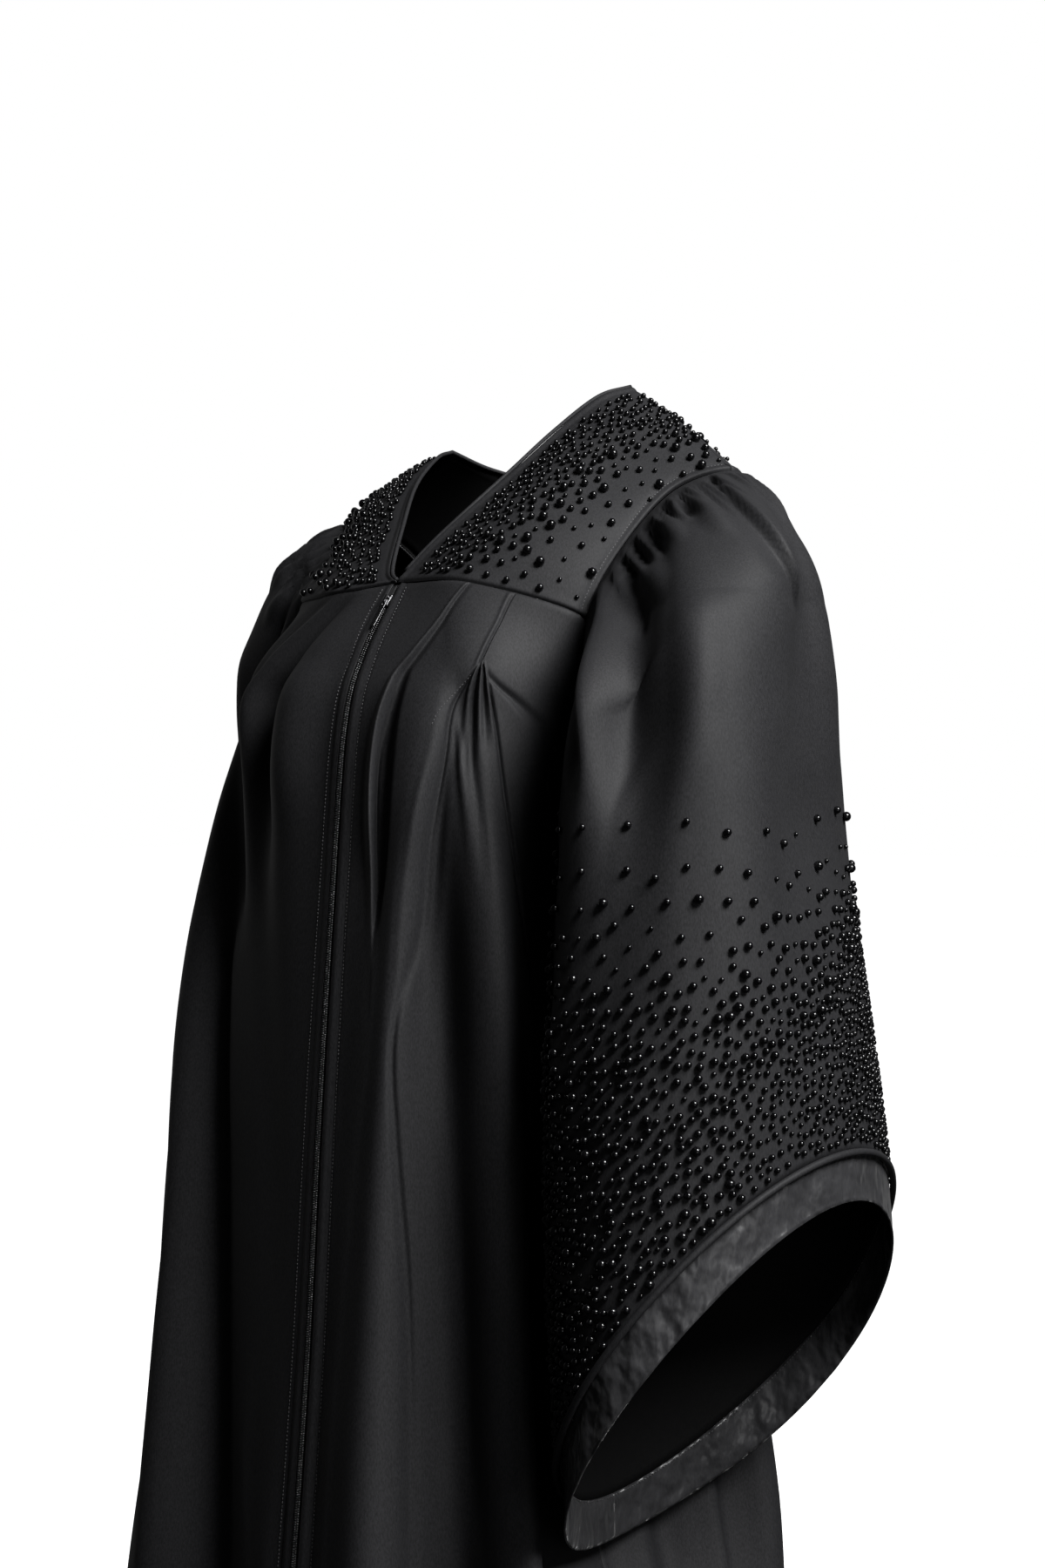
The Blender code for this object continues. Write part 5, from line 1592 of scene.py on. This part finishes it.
@dataclass
class Zip:
    """The zip: tapes, two rows of teeth, slider, pull tab and stop."""

    form: GownForm
    room: Workroom
    start: float = 0.365
    end: float = 7.94
    pitch: float = 0.0021
    tooth: tuple[float, float, float] = (0.0021, 0.0012, 0.0020)
    tooth_offset: float = 0.00135
    tooth_bevel: float = 0.0003
    tooth_lift: float = 0.0001
    tape_gap: float = 0.0021
    tape_grid: tuple[int, int] = (6, 200)
    tape_start: float = 0.012
    tape_behind: float = 0.0007
    tape_split: float = 0.0005
    tape_reach_left: float = 0.85 / 28
    tape_reach_right: float = 0.55 / 28
    tape_thickness: float = 0.0009

    def centre(self, level: Array) -> tuple[Array, Array, Array]:
        """Middle line of the zip with its ways down and out."""
        knots = np.arange(len(CENTRE_FRONT))
        down = unit(smooth(knots, CENTRE_FRONT, level + 0.05) - smooth(knots, CENTRE_FRONT, level - 0.05))
        out = np.stack([np.zeros_like(level), down[:, 2], -down[:, 1]], axis=1)
        return smooth(knots, CENTRE_FRONT, level), down, out

    def build(self) -> None:
        """Builds the zip and finishes its metal parts."""
        self.build_tapes()
        self.build_teeth()
        for name in ("zip_slider", "zip_pull_tab", "zip_stop"):
            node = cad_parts[name]
            node.data.materials.clear()
            node.data.materials.append(self.room.finishes[Slot.METAL])
            log.info("%s: finished", name)

    def build_tapes(self) -> None:
        """Builds the two woven tapes, from beside the teeth to behind the fronts."""
        for half in (LEFT, RIGHT):
            def surface(u: Array, v: Array) -> Array:
                """The tape."""
                level = self.tape_start + (HEM_LEVEL - self.tape_start) * v
                middle, _, out = self.centre(level)
                at_teeth = middle + out * -self.tape_gap + (half.sign * self.tape_split, 0, 0)
                reach = self.tape_reach_left if half.sign > 0 else self.tape_reach_right
                edge = self.form.folded_front(half, 0 * u, level, -CLOTH - self.tape_behind)
                last = self.form.folded_front(half, 0 * u + reach, level, -CLOTH - self.tape_behind)
                inner = at_teeth + (edge - at_teeth) * np.clip(u * 2, 0, 1)[:, None]
                return inner + (last - edge) * np.clip(u * 2 - 1, 0, 1)[:, None]

            columns, rows = self.tape_grid
            piece = self.room.lay_cloth(
                "tape_" + half.name, surface, np.linspace(0, 1, columns + 1), np.linspace(0, 1, rows + 1),
                Slot.TAPE, Direction.OUT_OF_BODY, thickness=self.tape_thickness)
            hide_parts("zip_tape_" + half.name)

    def build_teeth(self) -> None:
        """Builds both rows of teeth as one piece."""
        dense = np.linspace(self.start, self.end, 2000)
        middle, _, _ = self.centre(dense)
        run = np.concatenate([[0], np.cumsum(np.linalg.norm(np.diff(middle, axis=0), axis=1))])
        count = int(run[-1] / self.pitch)
        points, outs = [], []
        for sign in (1, -1):
            at = (np.arange(count) + (0.5 if sign > 0 else 0.0)) * self.pitch
            level = np.interp(at, run, dense)
            place, _, out = self.centre(level)
            points.append(place + (sign * self.tooth_offset, 0, 0) + out * self.tooth_lift)
            outs.append(out)
        points, out = np.concatenate(points), np.concatenate(outs)
        bm = bmesh.new()
        bmesh.ops.create_cube(bm, size=1.0)
        bmesh.ops.scale(bm, verts=bm.verts[:], vec=self.tooth)
        bmesh.ops.bevel(bm, geom=bm.edges[:], offset=self.tooth_bevel, segments=1, profile=0.5,
                        affect="EDGES", material=-1)
        template = bpy.data.meshes.new("tooth")
        bm.to_mesh(template)
        bm.free()
        along = np.tile((1.0, 0, 0), (len(points), 1))
        piece = self.room.set_many("zip_teeth", template, points, out, along, np.ones(len(points)),
                                   Slot.METAL, self.room.finishes[Slot.METAL])
        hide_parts("zip_chain")


@dataclass
class Topstitching:
    """Rows of stitches beside the zip, round the armholes, inside the bands and on the near pleat."""

    form: GownForm
    room: Workroom
    length: float = 0.0022
    gap: float = 0.0012
    radius: float = 0.00040
    proud: float = 0.4
    armhole_inset: float = 0.009
    band_place: float = 1.05
    under_band: float = 0.0005
    samples: int = 1500

    def template(self) -> bpy.types.Mesh:
        """One stitch, pointed at both ends."""
        bm = bmesh.new()
        bmesh.ops.create_uvsphere(bm, u_segments=5, v_segments=3, radius=0.5)
        lying = Vector((0, 0, 1)).rotation_difference(Vector((1, 0, 0))).to_matrix()
        bmesh.ops.rotate(bm, verts=bm.verts[:], cent=(0, 0, 0), matrix=lying)
        bmesh.ops.scale(bm, verts=bm.verts[:], vec=(self.length, self.radius * 2, self.radius * 2))
        mesh = bpy.data.meshes.new("stitch")
        bm.to_mesh(mesh)
        bm.free()
        return mesh

    def along(self, line: Callable, span: tuple[float, float]) -> tuple[Array, Array, Array]:
        """Evenly spaced stitches along a line.

        Args:
            line: Function giving points of the line, also with a lift out of the cloth.
            span: The line's first and last parameter.

        Returns:
            Stitch points, their ways out and their ways along.
        """
        dense = np.linspace(*span, self.samples)
        points = line(dense)
        run = np.concatenate([[0], np.cumsum(np.linalg.norm(np.diff(points, axis=0), axis=1))])
        at = np.interp(np.arange(self.length, run[-1], self.length + self.gap), run, dense)
        step = (span[1] - span[0]) * 1e-3
        middle = line(at)
        return middle, unit(line(at, LIFT) - middle), unit(line(at + step) - line(at - step))

    def build(self) -> None:
        """Builds all the stitching as one piece."""
        rows = []
        form = self.form
        for half, far_place, lower in ((LEFT, 0.058, 0.046), (RIGHT, 0.052, 0.030)):
            def beside_zip(level: Array, lift: float = 0.0) -> Array:
                """Line beside the zip."""
                marks = (far_place, far_place - 0.004, lower, lower * 0.8)
                place = np.interp(level, (0.05, 0.4, 1.0, HEM_LEVEL), marks)
                return form.folded_front(half, place, level, lift)

            rows.append(self.along(beside_zip, (0.06, 7.9)))

            def round_armhole(v: Array, lift: float = 0.0) -> Array:
                """Line inside the yoke's armhole edge."""
                across = form.front_yoke(half, v * 0 + 1, v) - form.front_yoke(half, v * 0, v)
                inset = self.armhole_inset / np.linalg.norm(across, axis=1)
                return form.worked_front_yoke(half, 1 - inset, v, lift)

            rows.append(self.along(round_armhole, (0.02, 0.985)))

            def inside_band(place: Array, lift: float = 0.0) -> Array:
                """Line inside the sleeve, on the band's upper edge."""
                under = -CLOTH - self.under_band - lift
                return form.folded_sleeve(half, place, place * 0 + self.band_place, under)

            rows.append(self.along(inside_band, (0.02, 9.98)))
        levels, places = (1.30, 1.62, 1.91, 2.05), (0.462, 0.395, 0.340, 0.325)

        def on_pleat(level: Array, lift: float = 0.0) -> Array:
            """Line on the pleated part below the dart."""
            return form.folded_front(LEFT, np.interp(level, levels, places), level, lift)

        rows.append(self.along(on_pleat, (1.32, 2.0)))
        points, out, along = (np.concatenate([row[k] for row in rows]) for k in range(3))
        self.room.set_many("topstitching", self.template(), points + out * self.radius * self.proud, out,
                           along, np.ones(len(points)), Slot.SATIN, self.room.thread)


@dataclass
class Pearls:
    """Black pearls scattered on the yokes and the lower sleeves, thicker towards neck and bands."""

    form: GownForm
    room: Workroom
    seed: int = 11
    smallest: float = 0.0022
    largest: float = 0.0045
    # Share of the radius that a whole pearl would sink in. The cut foot stays just over the cloth.
    sunk: float = 0.35
    highest: float = -0.385
    bare: float = 1.0
    clear: float = 0.0004
    crowded: float = 0.0072
    cell: float = 0.03
    grades: tuple[float, ...] = (0.0, 0.40, 0.62, 1.0)
    odds: tuple[float, ...] = (0.20, 0.34, 0.34, 0.12)

    def template(self) -> bpy.types.Mesh:
        """One pearl, cut flat at its foot."""
        bm = bmesh.new()
        bmesh.ops.create_uvsphere(bm, u_segments=7, v_segments=6, radius=1.0)
        foot = [vert for vert in bm.verts if vert.co.z < -0.75]
        bmesh.ops.delete(bm, geom=foot, context="VERTS")
        edges = [edge for edge in bm.edges if edge.is_boundary]
        bmesh.ops.contextual_create(bm, geom=edges)
        mesh = bpy.data.meshes.new("pearl")
        bm.to_mesh(mesh)
        bm.free()
        return mesh

    def scatter(self, rng: np.random.Generator, points: Array, spacing: Array,
                radius: Array) -> list[int]:
        """Keeps the candidates that stand clear of those before them.

        Args:
            rng: The random source, for the order.
            points: Candidate points.
            spacing: Wanted distance between middles at each.
            radius: Radius of each.

        Returns:
            Indices of the kept candidates.
        """
        kept, cells = [], {}
        keys = np.floor(points / self.cell).astype(int)
        for k in rng.permutation(len(points)):
            if spacing[k] >= self.bare:
                continue
            key = tuple(keys[k])
            near = [m for dx in (-1, 0, 1) for dy in (-1, 0, 1) for dz in (-1, 0, 1)
                    for m in cells.get((key[0] + dx, key[1] + dy, key[2] + dz), ())]
            if near:
                away = np.linalg.norm(points[near] - points[k], axis=1)
                need = np.maximum((spacing[near] + spacing[k]) * 0.5, radius[near] + radius[k] + self.clear)
                if (away < need).any():
                    continue
            cells.setdefault(key, []).append(k)
            kept.append(k)
        return kept

    def sow(self, name: str, surface: Callable, spans: Rows,
            spacing: Callable[[Array, Array, Array], Array], tries: int) -> None:
        """Sows one panel.

        Args:
            name: Name of the piece.
            surface: The panel's surface, also with a lift out of the cloth.
            spans: The panel's spans in u and v.
            spacing: Distance between pearls at (u, v), given random numbers too.
            tries: Number of candidates.
        """
        rng = np.random.default_rng(self.seed)
        u = rng.uniform(*spans[0], tries)
        v = rng.uniform(*spans[1], tries)
        points = surface(u, v)
        gaps = spacing(u, v, rng.uniform(0, 1, tries))
        size = rng.choice(self.grades, tries, p=self.odds)
        radius = self.smallest + (self.largest - self.smallest) * size
        small = np.minimum(radius * 0.95, self.smallest * 1.24)
        radius = np.where(gaps < self.crowded, small, radius)
        kept = self.scatter(rng, points, gaps, radius)
        points, radius = points[kept], radius[kept]
        out = unit(surface(u[kept], v[kept], LIFT) - points)
        along = unit(np.cross(out, rng.normal(size=points.shape)))
        seated = points + out * (radius * (1 - self.sunk))[:, None]
        self.room.set_many(name, self.template(), seated, out, along, radius, Slot.SATIN, self.room.pearl)
        log.info("%s: %d pearls", name, len(kept))

    def build(self) -> None:
        """Sows the yokes and the sleeves."""
        form = self.form
        for half in (LEFT, RIGHT):
            def yoke_gap(u: Array, v: Array, chance: Array) -> Array:
                """Closer at the neck and shoulder than at the armhole corner."""
                fade = np.clip((u - 0.30 - 0.25 * v) / 0.55, 0, 1)
                gap = 0.0058 + 0.012 * fade**1.3 + 0.004 * (1 - v) * u
                return np.where((fade > 0.75) & (chance > 0.55), self.bare, gap)

            self.sow("pearls_yoke_" + half.name, partial(form.worked_front_yoke, half),
                     ((0.11, 0.94), (0.04, 0.99)), yoke_gap, 9000)

            def sleeve_gap(u: Array, v: Array, chance: Array) -> Array:
                """Closer towards the band, and denser at the outer back."""
                outer = bell(u, 5.9, 1.4)
                drop = self.highest - form.sleeve(half, u, v)[:, 2] + 0.015 * outer + 0.008 * np.sin(2.1 * u)
                rise = np.clip(drop / (0.25 - 0.09 * outer), 0, 1)
                gap = 0.0076 + 0.030 * (1 - rise) ** 2.4 - 0.0017 * outer * rise
                return np.where((rise <= 0) | (v > 0.985), self.bare, gap)

            self.sow("pearls_sleeve_" + half.name, partial(form.folded_sleeve, half),
                     ((0.0, ARMHOLE_PLACES), (0.15, 0.985)), sleeve_gap, 90000)

        def back_gap(u: Array, v: Array, chance: Array) -> Array:
            """Closer at the neck and shoulders than at the lower seam."""
            fade = np.clip((v - 0.20) / 0.75, 0, 1)
            return np.where((fade > 0.8) & (chance > 0.5), self.bare, 0.0060 + 0.012 * fade**1.4)

        self.sow("pearls_yoke_back", form.worked_back_yoke, ((-0.96, 0.96), (0.10, 0.93)), back_gap, 14000)


@dataclass
class Studio:
    """Pale studio: floor, lights and camera."""

    azimuth: float = 40.0
    distance: float = 2.3
    lens: float = 54.0
    across: float = -0.0153
    height: float = -0.356
    floor_height: float = -1.47

    def build(self) -> None:
        """Builds the studio."""
        self.build_camera()
        self.build_backdrop()
        self.build_lights()
        bpy.context.scene.view_settings.view_transform = "Standard"

    def build_camera(self) -> None:
        """Places the camera, level, at the height of the gown's chest."""
        turn = math.radians(self.azimuth)
        data = bpy.data.cameras.new("camera")
        data.lens = self.lens
        data.sensor_width = 36.0
        camera = bpy.data.objects.new("camera", data)
        camera.location = (
            self.across * math.cos(turn) + self.distance * math.sin(turn),
            self.across * math.sin(turn) - self.distance * math.cos(turn),
            self.height,
        )
        camera.rotation_euler = (math.pi / 2, 0, turn)
        bpy.context.scene.collection.objects.link(camera)
        bpy.context.scene.camera = camera

    def build_backdrop(self) -> None:
        """Makes a white world that lights little, and a plain pale floor."""
        world = bpy.data.worlds.new("studio")
        world.use_nodes = True
        tree = world.node_tree
        shine = tree.nodes["Background"]
        shine.inputs["Color"].default_value = (1, 1, 1, 1)
        shine.inputs["Strength"].default_value = 1.0
        dim = tree.nodes.new("ShaderNodeBackground")
        dim.inputs["Color"].default_value = (1, 1, 1, 1)
        dim.inputs["Strength"].default_value = 0.01
        path, mix = tree.nodes.new("ShaderNodeLightPath"), tree.nodes.new("ShaderNodeMixShader")
        tree.links.new(path.outputs["Is Camera Ray"], mix.inputs["Fac"])
        tree.links.new(dim.outputs[0], mix.inputs[1])
        tree.links.new(shine.outputs[0], mix.inputs[2])
        tree.links.new(mix.outputs[0], tree.nodes["World Output"].inputs["Surface"])
        bpy.context.scene.world = world
        bm = bmesh.new()
        bmesh.ops.create_grid(bm, x_segments=1, y_segments=1, size=30.0)
        bmesh.ops.translate(bm, verts=bm.verts[:], vec=(0, 0, self.floor_height))
        mesh = bpy.data.meshes.new("floor")
        bm.to_mesh(mesh)
        bm.free()
        recipe = Recipe("pale floor")
        recipe.shader.inputs["Base Color"].default_value = (0.9, 0.9, 0.9, 1)
        recipe.settle(Roughness=0.9, Emission_Strength=1.1)
        recipe.shader.inputs["Emission Color"].default_value = (1, 1, 1, 1)
        mesh.materials.append(recipe.material)
        floor = bpy.data.objects.new("floor", mesh)
        floor.visible_diffuse = False
        floor.visible_glossy = False
        bpy.context.scene.collection.objects.link(floor)

    def build_lights(self) -> None:
        """Hangs four soft lights: a broad high key, and a weak fill, back light and side light."""
        aim = Vector((0.02, -0.10, -0.55))
        # Name, degrees round from the camera, height, distance, size across, size up, watts.
        plans = (
            ("key", 40, 2.35, 2.6, 1.45, 1.55, 212.0),
            ("fill", 22, -0.2, 2.9, 1.4, 1.4, 6.0),
            ("backdrop", 180, 0.3, 2.5, 5.0, 4.0, 10.0),
            ("side", -126, 0.3, 2.5, 1.6, 2.6, 3.5),
        )
        for name, degrees, height, distance, across, up, watts in plans:
            turn = math.radians(self.azimuth + degrees)
            data = bpy.data.lights.new(name, "AREA")
            data.shape = "RECTANGLE"
            data.size, data.size_y = across, up
            data.energy = watts
            lamp = bpy.data.objects.new(name, data)
            lamp.location = aim + Vector((math.sin(turn) * distance, -math.cos(turn) * distance, height))
            lamp.rotation_euler = (lamp.location - aim).to_track_quat("Z", "Y").to_euler()
            lamp.visible_camera = False
            bpy.context.scene.collection.objects.link(lamp)


def main() -> None:
    """Builds the gown piece by piece, then the studio."""
    logging.basicConfig(level=logging.INFO, format="%(name)s %(message)s")
    room = Workroom()
    room.stock()
    form = GownForm()
    Fronts(form, room).build()
    Back(form, room).build()
    Yokes(form, room).build()
    Sleeves(form, room).build()
    Zip(form, room).build()
    Topstitching(form, room).build()
    Pearls(form, room).build()
    Studio().build()


if __name__ == "__main__":
    main()
